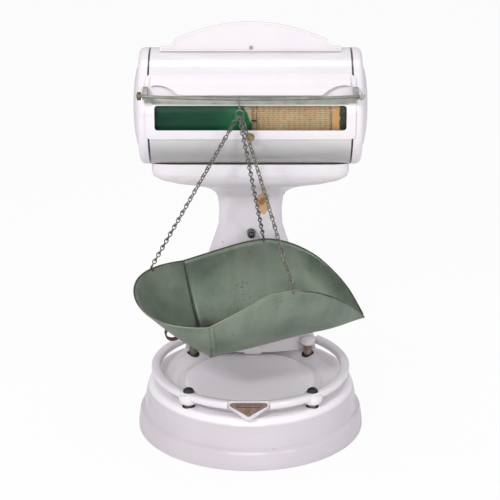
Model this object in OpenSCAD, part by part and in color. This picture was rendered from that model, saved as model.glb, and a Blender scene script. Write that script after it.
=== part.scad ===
// Counter computing scale: a chart drum in a horizontal barrel on a pedestal,
// a platform ring over a bell-shaped base, and a tin scoop hung on chains.
// +X is to the right, the reading window faces -Y, +Z is up. The origin is
// the centre of the base where it stands.

/* [Base] */
// Diameter of the base at the counter
base_d = 390; // [370:1:410]
// Height of the foot flange
flange_h = 35; // [25:1:42]
// Height of the deck plateau
deck_z = 82; // [78:1:84]
// Wall of the castings
wall = 7; // [5:0.5:9]
// Diameter of the levelling feet
foot_d = 26; // [20:1:30]

/* [Platform] */
// Radius of the platform ring's centre line
ring_r = 163.5; // [160:0.5:164]
// Width of the ring
ring_w = 15.5; // [12:0.5:16]
// Height of the ring's section
ring_t = 20; // [14:1:22]
// Height of the ring's underside
ring_z = 92; // [91:0.5:96]
// Diameter of the platform posts
post_d = 15; // [12:0.5:18]
// Travel of the platform at full load
platform_travel = 4; // [3:0.5:4]

/* [Column] */
// Half width of the column at its foot
foot_w = 118; // [112:1:118]
// Half width of the neck
neck_w = 55; // [50:1:60]
// Half width of the saddle
saddle_w = 167.5; // [160:0.5:168]

/* [Head] */
// Height of the drum's axis
axis_z = 547; // [545:1:550]
// Distance of the drum's axis behind the base's centre
axis_y = 85; // [83:1:87]
// Outer radius of the barrel
head_r = 98; // [97:0.5:98.5]
// Thickness of the sheet barrel
sheet = 2.5; // [2:0.1:3]
// Half length of the barrel, from seam to seam
barrel_w = 169; // [168:0.5:170]
// Depth of each end cap
cap_w = 16.5; // [14:0.5:18]
// How far each cap's dome stands out
dome_h = 11; // [8:0.5:13]
// Radius of each cap's dome
dome_r = 72; // [66:1:76]
// Radius of the chart drum
chart_r = 82; // [78:0.5:84]

/* [Scoop] */
// Half width of the scoop at the chain holes
scoop_w = 121; // [115:1:124]
// Depth of the scoop
scoop_d = 125; // [118:1:128]
// Reach of the lip beyond the hook
lip_reach = 209; // [200:1:212]
// Reach of the closed end beyond the hook
end_reach = 175.5; // [170:0.5:180]
// Turn of the scoop on its hook, degrees
scoop_yaw = 12; // [8:1:14]
// Thickness of the pan's tin
tin = 1.2; // [1.1:0.1:1.6]
// Thickness of the closed end's tin
end_tin = 2; // [1.6:0.1:2.4]
// Radius of each eye of a chain link, at the wire's centre
eye_r = 4; // [3.6:0.1:4.4]
// Diameter of the chain wire
link_wire = 1.5; // [1.3:0.1:1.7]

/* [Hidden] */
$fn = 64;
gap = 0.3;                 // seating gap between pieces
run = 0.05;                // radial clearance of a running fit
pinion_r = 3;
pinion_teeth = 12;
rack_travel = 15.7;
ring_top = ring_z + ring_t;
ring_end = 44;             // azimuth where the ring stops beside the column
post_x = 103;
post_front_y = -122;
post_rear_y = 101;
posts = [[-post_x, post_front_y], [post_x, post_front_y],
         [-post_x, post_rear_y], [post_x, post_rear_y]];
deck_r = 172;
rim_z = deck_z + 4;
cradle_z = 58;
lever_z = 44;
fulcrum_y = -75;
nose_y = 118;
load_y = fulcrum_y + (nose_y - fulcrum_y) * platform_travel / rack_travel;
head_bottom = axis_z - head_r;
saddle_top = head_bottom + 7;
rod_y = -41;
rod_z = 596;
rod_sag = 5;
rod_d = 5;
rod_half = 184;
rod_bow = (rod_half * rod_half + rod_sag * rod_sag) / (2 * rod_sag);
hook_x = -17.7;
hook_z = rod_z + rod_bow - sqrt(rod_bow * rod_bow - hook_x * hook_x) - rod_sag;
hook_wire = 1.3;           // radius of the hook's wire
hook_eye = 6.5;            // radius of the hook's eye, at the wire's centre
eye_z = hook_z - 24;
scoop_x = -22.9;           // the scoop's centre of mass hangs under the hook
scoop_y = -47.2;
scoop_z = 294;             // height of the scoop's widest line
scoop_roll = 3;

enamel = [0.88, 0.86, 0.88];
nickel = [0.62, 0.6, 0.58];
brass = [0.62, 0.47, 0.28];
steel = [0.5, 0.5, 0.52];
tin_green = [0.42, 0.47, 0.41];
rubber = [0.08, 0.08, 0.09];

function mix(a, b, t) = a + (b - a) * t;
function step01(t) = t * t * (3 - 2 * t);

// A bar along X with its axis at y, z
module along_x(x0, x1, r, y, z) {
    translate([x0, y, z]) rotate([0, 90, 0]) cylinder(h = x1 - x0, r = r);
}

// A bar along Y with its axis at x, z
module along_y(y0, y1, r, x, z) {
    translate([x, y0, z]) rotate([-90, 0, 0]) cylinder(h = y1 - y0, r = r);
}

// A closed solid lofted through rings of equal length, with flat ends
module loft(rings) {
    n = len(rings[0]);
    m = len(rings);
    polyhedron(
        points = [for (ring = rings) each ring],
        faces = concat(
            [[for (i = [n - 1:-1:0]) i]],
            [for (k = [0:m - 2]) for (i = [0:n - 1])
                each [[k * n + i, k * n + (i + 1) % n, (k + 1) * n + i],
                      [k * n + (i + 1) % n, (k + 1) * n + (i + 1) % n, (k + 1) * n + i]]],
            [[for (i = [0:n - 1]) (m - 1) * n + i]]),
        convexity = 8);
}

// Base: a hollow bell turned about Z, with a deck groove, plateau and bosses
base_r = base_d / 2;
body_r = base_r - 11;
deck_under = deck_z - 5 - wall;
grommet_r = post_d / 2 + 3.4;
function base_outer() = [
    [base_r, 2], [base_r - 0.5, 12], [base_r - 3, flange_h - 6], [base_r - 5, flange_h - 2],
    [base_r - 8, flange_h], [body_r + 0.5, flange_h + 2], [body_r - 1, 48], [body_r - 3, 62],
    [body_r - 6, 74], [body_r - 9, 81], [deck_r, rim_z - 1.4], [deck_r - 4, rim_z],
    [150, rim_z], [143, rim_z - 1.5], [134, deck_z - 2], [122, deck_z - 5], [115, deck_z - 5],
    [111.5, deck_z - 1], [109, deck_z], [0, deck_z]];
module base_casting() {
    color(enamel) difference() {
        union() {
            rotate_extrude() polygon(concat(base_outer(), [
                [0, deck_under], [128, deck_under], [150, rim_z - wall],
                [body_r - 9 - wall, 76], [body_r - 3 - wall, 58], [body_r - 1 - wall, 40],
                [base_r - 5 - wall, 30], [base_r - wall, 2]]));
            // pads for the levelling feet, inside the flange
            for (a = [45:90:315]) rotate(a) translate([base_r - 32, 0, 6])
                cylinder(h = 20, r = 12);
            for (a = [45:90:315]) rotate(a) translate([base_r - 32, -6, 6])
                cube([25, 12, 20]);
            // bosses round the four post wells
            for (p = posts) translate([p[0], p[1], deck_z - wall - 3.5])
                cylinder(h = 7, r = grommet_r + 2.8);
        }
        for (p = posts) {
            translate([p[0], p[1], 0]) cylinder(h = 100, r = post_d / 2 + 1.6);
            translate([p[0], p[1], deck_z - 6]) cylinder(h = 20, r = grommet_r + gap);
        }
        for (a = [45:90:315]) rotate(a) translate([base_r - 32, 0, 5]) cylinder(h = 22, r = 4 + run);
        translate([-15, nose_y - 11, 0]) cube([30, 22, 100]);
        for (x = [-80, 80]) translate([x, 138, 60]) cylinder(h = 40, r = 4.5);
    }
}

// Column: its foot follows the deck's rim, its head is the saddle
function foot_point(a, w, rl) =
    let (x = w * cos(a), front = 98 + 24 * pow(x / foot_w, 2), back = sqrt(rl * rl - x * x))
    sin(a) < 0 ? [x, min(front, back)] : [x, max(back, front)];
function oval_point(a, w, yc, b, n) =
    [w * sign(cos(a)) * pow(abs(cos(a)), 2 / n), yc + b * sign(sin(a)) * pow(abs(sin(a)), 2 / n)];
// height, half width, centre in Y, half depth, squareness, share of the foot's outline
column_stations = [
    [84, foot_w, 134, 34, 2.4, 1], [90, foot_w - 0.6, 134, 34, 2.4, 0.9],
    [104, foot_w - 2, 134, 33, 2.4, 0.7], [130, foot_w - 7, 134, 33, 2.4, 0.4],
    [170, mix(foot_w, neck_w, 0.3), 134, 32, 2.4, 0.15], [220, mix(foot_w, neck_w, 0.52), 134, 31, 2.4, 0],
    [268, mix(foot_w, neck_w, 0.7), 135, 31, 2.4, 0], [296, mix(foot_w, neck_w, 0.86), 135, 30, 2.4, 0],
    [320, neck_w + 1.5, 134, 30, 2.4, 0], [350, neck_w, 134, 30, 2.4, 0],
    [372, neck_w + 2.5, 132, 31, 2.4, 0], [384, neck_w + 8, 127, 34, 2.4, 0],
    [395, neck_w + 20, 119, 39, 2.6, 0], [403, neck_w + 36, 112, 43, 2.8, 0],
    [410, neck_w + 58, 105, 46, 3.2, 0], [415, neck_w + 82, 99, 48, 3.6, 0],
    [422, saddle_w - 11, 95, 49, 4.5, 0], [431, saddle_w - 2, 92, 50, 7, 0],
    [440, saddle_w, 90, 50, 9, 0], [saddle_top, saddle_w, 90, 50, 9, 0]];
column_sides = 48;
module column_casting() {
    color(enamel) difference() {
        union() {
            loft([for (s = column_stations) [for (i = [0:column_sides - 1])
                let (a = 360 * (i + 0.5) / column_sides,
                     f = foot_point(a, s[1], deck_r - 3),
                     o = oval_point(a, s[1], s[2], s[3], s[4]))
                [mix(o[0], f[0], s[5]), mix(o[1], f[1], s[5]), s[0] + (s[0] == 84 ? rim_z + gap - 84 : 0)]]]);
            // lug at the foot's front, over the plateau
            along_y(97, 110, 7.5, -6, deck_z + 9);
            along_y(97, 110, 7.5, 14, deck_z + 9);
            translate([-6, 97, deck_z + 1.5]) cube([20, 13, 15]);
        }
        // trough for the barrel
        along_x(-saddle_w - 5, saddle_w + 5, head_r + gap, axis_y, axis_z);
        // channel for the draw rod, up the neck and along the saddle
        translate([-10, nose_y - 8, 80]) cube([20, 16, saddle_top - 70]);
        translate([-10, nose_y - 8, 427]) cube([barrel_w - 2 + 10, 16, 60]);
        translate([141, 82, 427]) cube([barrel_w - 3 - 141, nose_y - 74, 60]);
        // seat of the zero bushing
        along_y(96, 112, 5 + run, 1.5, 316);
        for (x = [-80, 80]) translate([x, 138, 60]) cylinder(h = 60, r = 3.4);
    }
}

// Barrel: rolled sheet with a front opening, a rear slot and a linkage opening
window_low = 531;
window_high = 572.5;
window_w = 157;
module barrel_cover() {
    color([0.8, 0.79, 0.8]) difference() {
        along_x(-barrel_w, barrel_w, head_r, axis_y, axis_z);
        along_x(-barrel_w - 1, barrel_w + 1, head_r - sheet, axis_y, axis_z);
        translate([-window_w - 3, axis_y - head_r - 5, window_low - 4])
            cube([2 * window_w + 6, 40, window_high - window_low + 8]);
        translate([142, 82, head_bottom - 10]) cube([barrel_w - 2 - 142, nose_y - 72, 30]);
        along_y(-60, 20, 2.7, 0, axis_z - 27);
    }
}

// End cap: a stepped dome spun from one sheet
cap_steps = 6;
cap_tin = 1.6;
module end_cap() {
    r0 = head_r;
    t = cap_tin;
    outer = concat([[r0, 0]],
        [for (i = [0:cap_steps]) let (a = 90 * i / cap_steps)
            [r0 - 9 + 9 * cos(a), cap_w - 9 + 9 * sin(a)]],
        [[dome_r + 9, cap_w], [dome_r + 4, cap_w - 1.6], [dome_r, cap_w - 0.6]],
        [for (i = [1:cap_steps]) let (a = 90 * i / cap_steps)
            [dome_r * cos(a * 0.98), cap_w - 0.6 + (dome_h + 0.6) * sin(a)]]);
    inner = [[r0 - t, 0], [r0 - t, cap_w - 9], [r0 - t - 6, cap_w - t - 1.6],
        [dome_r - t, cap_w - t - 2], [dome_r * 0.8, cap_w + dome_h * 0.5 - t],
        [dome_r * 0.4, cap_w + dome_h * 0.86 - t], [0, cap_w + dome_h - t]];
    rotate_extrude($fn = 96) polygon(concat(outer, [[0, cap_w + dome_h]],
        [for (i = [len(inner) - 1:-1:0]) inner[i]]));
}
module right_end_cap() {
    color(enamel) translate([barrel_w + gap, axis_y, axis_z]) rotate([0, 90, 0]) end_cap();
}
module left_end_cap() {
    color(enamel) translate([-barrel_w - gap, axis_y, axis_z]) rotate([0, -90, 0]) end_cap();
}

// A plate of rounded outline in XZ, thick along Y
module rounded_plate(w, z0, z1, y0, y1, r) {
    translate([-w, y0, z0 + r]) cube([2 * w, y1 - y0, z1 - z0 - 2 * r]);
    translate([-w + r, y0, z0]) cube([2 * w - 2 * r, y1 - y0, z1 - z0]);
    for (x = [-w + r, w - r], z = [z0 + r, z1 - r]) along_y(y0, y1, r, x, z);
}

// A curved plate on the barrel between two radii, cut to a front outline
module curved_plate(r0, r1, w, z0, z1, corner) {
    intersection() {
        difference() {
            along_x(-w - 5, w + 5, r1, axis_y, axis_z);
            along_x(-w - 6, w + 6, r0, axis_y, axis_z);
        }
        rounded_plate(w, z0, z1, axis_y - head_r - 30, axis_y, corner);
    }
}

bezel_w = 172;
bezel_r = head_r + gap + 3;
bezel_low = axis_z - 32;
bezel_high = axis_z + 71;
module window_bezel() {
    color(enamel) difference() {
        curved_plate(head_r + gap, bezel_r, bezel_w, bezel_low, bezel_high, 9);
        rounded_plate(window_w, window_low, window_high, axis_y - head_r - 20, axis_y - 60, 5);
        along_y(-60, 0, 2.4 + run, 0, bezel_low + 5);
    }
}
module window_glass() {
    color([0.8, 0.85, 0.84, 0.3])
        curved_plate(head_r - sheet - gap - 2, head_r - sheet - gap, window_w + 6,
            window_low - 7, window_high + 9, 3);
}

// Hood: a shade over the window, scalloped at both ends
hood_w = 163;
hood_steps = 10;
function hood_line(t) = let (a = mix(43, 23, t), r = mix(bezel_r + 0.4, bezel_r + 10, step01(t)))
    [axis_y - r * cos(a), axis_z + r * sin(a)];
module window_hood() {
    outer = [for (i = [0:hood_steps]) hood_line(i / hood_steps)];
    color(enamel) difference() {
        translate([-hood_w, 0, 0]) rotate([90, 0, 90]) linear_extrude(height = 2 * hood_w)
            polygon(concat(outer, [for (i = [hood_steps:-1:0]) outer[i] + [-1.1, 1.1]]));
        for (s = [-1, 1]) along_y(-60, 40, 55, s * (hood_w - 10), 550);
    }
}

// Rail: the plated strip between hood and window, with the rod's two ears
module window_rail() {
    color(nickel) difference() {
        union() {
            curved_plate(bezel_r + gap, bezel_r + gap + 1.6, 160, 575, 586, 1);
            for (s = [-1, 1]) intersection() {
                translate([s * 171 - 4, rod_y - 6, rod_z - 6.7]) cube([8, 50, 12]);
                difference() {
                    along_x(-180, 180, 130, axis_y, axis_z);
                    along_x(-181, 181, bezel_r + gap, axis_y, axis_z);
                }
            }
            for (s = [-1, 1]) intersection() {
                translate([s * 165.5 - 7.5, rod_y, 577]) cube([15, 50, 8.5]);
                difference() {
                    along_x(-180, 180, bezel_r + gap + 1.6, axis_y, axis_z);
                    along_x(-181, 181, bezel_r + gap, axis_y, axis_z);
                }
            }
        }
        along_x(-180, 180, rod_d / 2 + 0.3, rod_y, rod_z - 0.7);
    }
}

// Rod: sags a little between its ears
module hanger_rod() {
    half = asin(rod_half / rod_bow);
    color(nickel) translate([0, rod_y, rod_z - rod_sag + rod_bow]) rotate([90, 0, 0])
        rotate(-90 - half) rotate_extrude(angle = 2 * half, $fn = 1440)
            translate([rod_bow, 0]) circle(d = rod_d);
}
module rod_nuts() {
    color(nickel) for (s = [-1, 1]) difference() {
        union() {
            along_x(s * 179 - 3.4, s * 179 + 3.4, 6, rod_y, rod_z - 0.2);
            for (a = [0:20:340]) translate([s * 179 - 3.2, rod_y, rod_z - 0.2])
                rotate([a, 0, 0]) translate([0, 5.6, -0.5]) cube([6.4, 1, 1]);
        }
        along_x(s * 179 - 5, s * 179 + 5, rod_d / 2 + 0.3, rod_y, rod_z - 0.2);
    }
}

module bezel_thumb_nut() {
    y1 = axis_y - sqrt(bezel_r * bezel_r - pow(axis_z - bezel_low - 5, 2)) - gap - 1.4;
    color(brass) difference() {
        union() {
            along_y(y1 - 6, y1, 6.4, 0, bezel_low + 5);
            along_y(y1 - 8, y1 - 5, 4.5, 0, bezel_low + 5);
            along_y(y1 - 1, y1 + 6.5, 2.4, 0, bezel_low + 5);
        }
        for (a = [0:20:340]) translate([0, 0, bezel_low + 5]) rotate([0, a, 0])
            translate([-0.6, y1 - 7, 5.9]) cube([1.2, 6, 2]);
    }
}

// Mask: the green plate behind the glass, with its index wire and pointer
mask_r = chart_r + 5;
mask_low = window_low - 16;
module price_mask() {
    color([0.08, 0.3, 0.2]) intersection() {
        curved_plate(mask_r, mask_r + 0.8, 166, mask_low, window_high + 16, 2);
        union() {
            translate([-167, -60, mask_low]) cube([169, 200, 90]);
            translate([-167, -60, mask_low]) cube([333, 200, 11]);
            translate([drum_x1 - 2, -60, mask_low]) cube([40, 200, 90]);
        }
    }
}
module index_pointer() {
    y0 = axis_y - mask_r - 0.8 - gap;
    color([0.15, 0.12, 0.1]) {
        translate([9.6, y0 - 0.9, window_low - 1]) cube([0.9, 0.9, window_high - window_low + 2]);
        translate([1, y0 - 0.9, 543]) cube([9.6, 0.9, 3]);
    }
}

// Chart drum on two spiders and a shaft
drum_x0 = -150;
drum_x1 = 136;
module ring_x(x0, x1, r0, r1) {
    difference() {
        along_x(x0, x1, r1, axis_y, axis_z);
        along_x(x0 - 1, x1 + 1, r0, axis_y, axis_z);
    }
}
module chart_drum() {
    color([0.7, 0.7, 0.72]) ring_x(drum_x0, drum_x1, chart_r - 1, chart_r);
}
module chart_sheet() {
    color([0.75, 0.6, 0.42]) ring_x(drum_x0 + 3, drum_x1 - 3, chart_r, chart_r + 0.4);
}
module drum_spiders() {
    color(steel) for (x = [drum_x0 + 8, drum_x1 - 12]) difference() {
        union() {
            ring_x(x, x + 4, chart_r - 5, chart_r - 1);
            along_x(x - 4, x + 8, 8, axis_y, axis_z);
            for (a = [0:72:288]) translate([x + 1, axis_y, axis_z]) rotate([a, 0, 0])
                translate([0, -3, 5]) cube([2, 6, chart_r - 8]);
        }
        along_x(x - 10, x + 20, 3, axis_y, axis_z);
    }
}
shaft_x = 176;
module drum_shaft() {
    color(steel) {
        along_x(-145, 148, 3, axis_y, axis_z);
        along_x(-shaft_x, -144, 2, axis_y, axis_z);
        along_x(147, shaft_x, 2, axis_y, axis_z);
    }
}

// Pinion and rack of equal pitch, in mesh at rest
tooth_pitch = 2 * PI * pinion_r / pinion_teeth;
module tooth(h) {
    linear_extrude(height = h) polygon([[-0.34 * tooth_pitch, -0.75], [0.34 * tooth_pitch, -0.75],
        [0.12 * tooth_pitch, 0.42], [-0.12 * tooth_pitch, 0.42]]);
}
pinion_x = 157;
module pinion() {
    color(brass) translate([pinion_x, axis_y, axis_z]) rotate([0, 90, 0]) difference() {
        union() {
            cylinder(h = 8, r = pinion_r - 0.45);
            for (i = [0:pinion_teeth - 1]) rotate((i + 0.5) * 360 / pinion_teeth + 90)
                translate([0, pinion_r, 0]) tooth(8);
        }
        translate([0, 0, -1]) cylinder(h = 10, r = 2);
    }
}
rack_y = axis_y + pinion_r;
module rack() {
    n0 = -4;
    n1 = 14;
    color(brass) {
        translate([pinion_x, rack_y + 0.85, 452]) cube([8, 5, axis_z + 30 - 452]);
        for (i = [n0:n1]) translate([pinion_x + 1, rack_y, axis_z + i * tooth_pitch])
            rotate([0, 90, 0]) rotate(180) rack_tooth();
    }
}
module rack_tooth() {
    linear_extrude(height = 6) polygon([[-0.26 * tooth_pitch, -0.9], [0.26 * tooth_pitch, -0.9],
        [0.09 * tooth_pitch, 0.38], [-0.09 * tooth_pitch, 0.38]]);
}

// Draw rod: a stirrup on the lever's nose, a rod up the neck, an arm along
// the saddle and a foot that carries the rack and both springs
arm_z = 446;
module draw_rod() {
    color(steel) {
        difference() {
            translate([-6, nose_y - 7, lever_z - 8]) cube([12, 14, 18]);
            for (y = [nose_y - 0.8, nose_y]) along_x(-7, 7, 3.3, y, lever_z);
            translate([-7, nose_y - 0.8, lever_z - 3.3]) cube([14, 0.8, 6.6]);
            translate([-3.6, nose_y - 8, lever_z - 9]) cube([7.2, 16, 16.5]);
        }
        translate([0, nose_y, lever_z + 9]) cylinder(h = arm_z - lever_z - 8, r = 3);
        translate([-5, nose_y - 5, arm_z]) cube([pinion_x + 13, 10, 5]);
        translate([143, rack_y + 0.85, arm_z]) cube([pinion_x - 135, nose_y - rack_y, 5]);
    }
}

// Weighing springs: open helical coils hooked between the arm and the bracket
spring_r = 4.6;
spring_wire = 0.6;
spring_turns = 12;
spring_x = 149;
spring_ys = [101, 115];
spring_low = arm_z + 5.2;
spring_high = 537;
function helix(a, x, y) = let (h = spring_high - spring_low - 2 * spring_wire)
    [x + spring_r * cos(a), y + spring_r * sin(a), spring_low + spring_wire + h * a / (360 * spring_turns)];
function spring_ring(a, x, y) = let (c = helix(a, x, y), d = [cos(a), sin(a), 0])
    [for (k = [0:5]) c + spring_wire * cos(60 * k) * d + [0, 0, spring_wire * sin(60 * k)]];
module spring(x, y) {
    n = spring_turns * 8;
    color(steel) loft([for (i = [0:n]) spring_ring(i * 45, x, y)]);
}
module front_weighing_spring() { spring(spring_x, spring_ys[0]); }
module rear_weighing_spring() { spring(spring_x, spring_ys[1]); }

// Bearing brackets: straps across the barrel's ends
module bracket_strap(x) {
    difference() {
        intersection() {
            union() {
                translate([x, axis_y - 100, axis_z - 9]) cube([3, 200, 18]);
                along_x(x - 2, x + 5, 9, axis_y, axis_z);
            }
            along_x(-200, 200, head_r - cap_tin - gap, axis_y, axis_z);
        }
        along_x(x - 10, x + 10, 2 + run, axis_y, axis_z);
    }
}
module left_bearing_bracket() {
    color(steel) bracket_strap(-172.5);
}
module right_bearing_bracket() {
    color(steel) {
        bracket_strap(169.5);
        translate([142, rack_y + 7, spring_high + 0.2]) cube([29, 28, 4]);
    }
}

// Lever: a forked casting in the base, turning on its fulcrum pins
module main_lever() {
    color(steel) difference() {
        translate([0, 0, lever_z - 6]) linear_extrude(height = 12) polygon([
            [-62, fulcrum_y - 7], [62, fulcrum_y - 7], [62, load_y + 8], [30, load_y + 14],
            [3, nose_y + 4], [-3, nose_y + 4], [-30, load_y + 14], [-62, load_y + 8]]);
        translate([0, 0, lever_z - 7]) linear_extrude(height = 14) polygon([
            [-48, fulcrum_y + 8], [48, fulcrum_y + 8], [48, load_y - 4], [20, load_y + 6],
            [-20, load_y + 6], [-48, load_y - 4]]);
        translate([-40, nose_y - 30, lever_z - 7]) cube([36.8, 60, 14]);
        translate([3.2, nose_y - 30, lever_z - 7]) cube([36.8, 60, 14]);
    }
}
module lever_pins() {
    color(steel) {
        for (s = [-1, 1]) along_x(s * 68.2 - 5.8, s * 68.2 + 5.8, 4, fulcrum_y, lever_z);
        for (s = [-1, 1]) along_x(s * 5 - 1.8, s * 5 + 1.8, 3, nose_y, lever_z);
    }
}
module fulcrum_stands() {
    color(enamel) for (s = [-1, 1]) difference() {
        translate([s * 69.5 - 6, fulcrum_y - 9, lever_z - 10]) cube([12, 18, deck_under - lever_z + 10 - gap]);
        along_x(s * 69.5 - 7, s * 69.5 + 7, 4 + run, fulcrum_y, lever_z);
    }
}

// Dashpot: an oil cup hung under the deck, its piston on the lever
dashpot_y = 60;
module dashpot_cup() {
    color(nickel) {
        difference() {
            translate([0, dashpot_y, 4]) cylinder(h = 20, r = 19);
            translate([0, dashpot_y, 6]) cylinder(h = 30, r = 17);
        }
        for (s = [-1, 1]) translate([s * 27 - 2, dashpot_y - 6, 4]) cube([4, 12, deck_under - gap - 4]);
        for (s = [-1, 1]) translate([s * 23.5 - 5.5, dashpot_y - 6, 4]) cube([11, 12, 2]);
    }
}
module dashpot_piston() {
    color(brass) {
        translate([0, dashpot_y, 20]) cylinder(h = 2.5, r = 13.5);
        translate([0, dashpot_y, 22]) cylinder(h = lever_z - 6 - 22 - gap, r = 2.5);
    }
}

// Platform ring: an open ring that stops beside the column, with four cups
module platform_ring() {
    color(enamel) difference() {
        union() {
            rotate(90 + (90 - ring_end)) rotate_extrude(angle = 360 - 2 * (90 - ring_end), $fn = 128)
                polygon([for (q = [[-0.5, 0], [-0.5, 0.62], [-0.44, 0.85], [-0.25, 1], [0.25, 1],
                    [0.44, 0.85], [0.5, 0.62], [0.5, 0]])
                    [ring_r + q[0] * ring_w, ring_z + q[1] * ring_t]]);
            for (i = [0, 1]) translate([posts[i][0], posts[i][1], 0])
                rotate_extrude() polygon([[0, rim_z + 4.6], [15, rim_z + 4.6], [16, rim_z + 8],
                    [14, ring_top - 4], [10, ring_top], [0, ring_top]]);
            for (i = [2, 3]) translate([posts[i][0], posts[i][1], 0])
                rotate_extrude() polygon([[0, ring_z + 8], [11, ring_z + 8], [12, ring_z + 12],
                    [11, ring_top - 2], [8, ring_top], [0, ring_top]]);
            for (s = [-1, 1]) translate([s * 112 - 8, 92, ring_z + 8]) cube([16, 16, ring_t - 8.5]);
            // triangular lug for the level
            translate([level_x, -ring_r - 8, 0]) level_lug();
        }
        for (p = posts) translate([p[0], p[1], ring_z - 20]) cylinder(h = 20 + 10, r = post_d / 2);
        for (p = posts) translate([p[0], p[1], ring_top - 4]) cylinder(h = 10, r = 4.6);
        level_pocket();
    }
}

// Level: a tilted triangular plate let into the ring's front
level_x = -3;
level_tilt = 30;
module tri(w, h, r) {
    hull() {
        for (s = [-1, 1]) translate([s * (w - r), h / 2 - r]) circle(r = r, $fn = 24);
        translate([0, -h / 2 + r]) circle(r = r, $fn = 24);
    }
}
module level_frame() {
    translate([level_x, -ring_r - 9.5, ring_top - 9.5]) rotate([level_tilt, 0, 0]) children();
}
module level_lug() {
    translate([0, -1.5, ring_top - 9.5]) rotate([level_tilt, 0, 0]) translate([0, 0, -9])
        linear_extrude(height = 9.4) tri(36, 36, 7);
}
module level_pocket() {
    level_frame() translate([0, 0, -2]) linear_extrude(height = 10) tri(31.5, 28, 5);
}
module level_plate() {
    color([0.43, 0.27, 0.22]) difference() {
        level_frame() translate([0, 0, -1.9]) linear_extrude(height = 1.5) tri(31.2, 27.4, 4.8);
        level_frame() translate([-20.5, 4.4, -3]) cube([41, 5.2, 6]);
        level_frame() translate([0, -5, -3]) cylinder(h = 10, r = 1.2);
    }
}
module level_vial() {
    color([0.5, 0.25, 0.15]) level_frame() translate([0, 7, 0.5]) rotate([0, 90, 0])
        cylinder(h = 40, r = 2.3, center = true);
}
module level_screw() {
    color(brass) level_frame() translate([0, -5, -0.3]) difference() {
        union() {
            cylinder(h = 1.2, r1 = 2.6, r2 = 1.8);
            translate([0, 0, -1.4]) cylinder(h = 2, r = 1.1);
        }
        translate([-3, -0.3, 0.7]) cube([6, 0.6, 2]);
    }
}

module platform_posts() {
    color([0.5, 0.48, 0.4]) for (p = posts)
        translate([p[0], p[1], cradle_z + 6]) cylinder(h = ring_z + 10 - cradle_z - 6, r = post_d / 2);
}
module rubber_bumpers() {
    color(rubber) for (p = posts) translate([p[0], p[1], ring_top - 4]) rotate_extrude()
        polygon([[0, 0], [4.5, 0], [4.5, 4.2], [9, 4.2], [9, 8], [7, 11], [3, 12.6], [0, 12.6]]);
}

// Cradle: joins the four posts under the deck and rests on the lever
module platform_cradle() {
    color(steel) {
        for (p = posts) translate([p[0], p[1], cradle_z]) cylinder(h = 6, r = 9);
        for (s = [-1, 1]) translate([s * post_x - 7, post_front_y, cradle_z])
            cube([14, post_rear_y - post_front_y, 6]);
        translate([-post_x, load_y - 8, cradle_z]) cube([2 * post_x, 16, 6]);
        for (s = [-1, 1]) {
            along_x(s * 54 - 5, s * 54 + 5, 3, load_y, lever_z + 9 + gap);
            translate([s * 54 - 5, load_y - 2, lever_z + 9 + gap]) cube([10, 4, cradle_z - lever_z - 9]);
        }
    }
}
module post_grommets() {
    color(rubber) for (p = posts) translate([p[0], p[1], deck_z - 6 + gap]) rotate_extrude()
        polygon([[post_d / 2 + 1, 0], [grommet_r, 0], [grommet_r, 6.4], [grommet_r - 1, 8],
            [post_d / 2 + 1.8, 8], [post_d / 2 + 1, 6]]);
}

// Zero adjuster on the neck's front
module zero_bushing() {
    color(nickel) difference() {
        union() {
            along_y(95, 111, 5, 1.5, 316);
            along_y(94, 97, 7.5, 1.5, 316);
        }
        along_y(90, 112, 2.5 + run, 1.5, 316);
    }
}
module zero_knob() {
    color(rubber) {
        translate([1.5, 84, 316]) sphere(r = 7.2);
        along_y(84, 110, 2.5, 1.5, 316);
    }
}

module column_bolts() {
    color(steel) for (x = [-80, 80]) {
        translate([x, 138, 62]) cylinder(h = 50, r = 3.3);
        translate([x, 138, 61.5 + 4]) cylinder(h = 5, r = 9, $fn = 6);
    }
}

// Levelling foot: a disc and screw in the base's pad
module levelling_foot(a) {
    color(steel) rotate(a) translate([base_r - 32, 0, 0]) {
        cylinder(h = 5, r = foot_d / 2);
        cylinder(h = 24, r = 4);
    }
}
module front_left_foot() { levelling_foot(225); }
module front_right_foot() { levelling_foot(315); }
module rear_left_foot() { levelling_foot(135); }
module rear_right_foot() { levelling_foot(45); }

// Crest: a bare pediment along the barrel's top
crest_y = 69;
crest_seat = axis_z + sqrt(pow(head_r, 2) - pow(axis_y - crest_y - 2, 2)) + gap;
crest_rise = 50;
crest_half = 150;
function crest_outline(inset) =
    let (x1 = crest_half - inset, x2 = 138 - inset, x3 = 128 - inset, z0 = crest_seat + inset,
         z1 = crest_seat + 9 - inset, z2 = crest_seat + 20 - inset, z3 = crest_seat + crest_rise - inset)
    concat([[-x1, z0], [x1, z0], [x1, z1], [x2, z1]],
        [for (i = [1:5]) let (a = 90 * i / 5) [x2 - (x2 - x3) * sin(a), z2 - (z2 - z1) * cos(a)]],
        [for (i = [1:15]) let (t = i / 16, x = x3 * (1 - 2 * t)) [x, mix(z2, z3, 1 - pow(x / x3, 2))]],
        [for (i = [5:-1:1]) let (a = 90 * i / 5) [-x2 + (x2 - x3) * sin(a), z2 - (z2 - z1) * cos(a)]],
        [[-x2, z1], [-x1, z1]]);
module crest_plate() {
    color(enamel) difference() {
        union() {
            translate([0, crest_y + 2, 0]) rotate([90, 0, 0]) linear_extrude(height = 3)
                polygon(crest_outline(0));
            translate([0, crest_y, 0]) rotate([90, 0, 0]) linear_extrude(height = 2) difference() {
                polygon(crest_outline(0));
                polygon(crest_outline(3));
            }
        }
        along_y(crest_y - 5, crest_y + 5, 1.6, 1, crest_seat + 6.5);
    }
}
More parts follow.
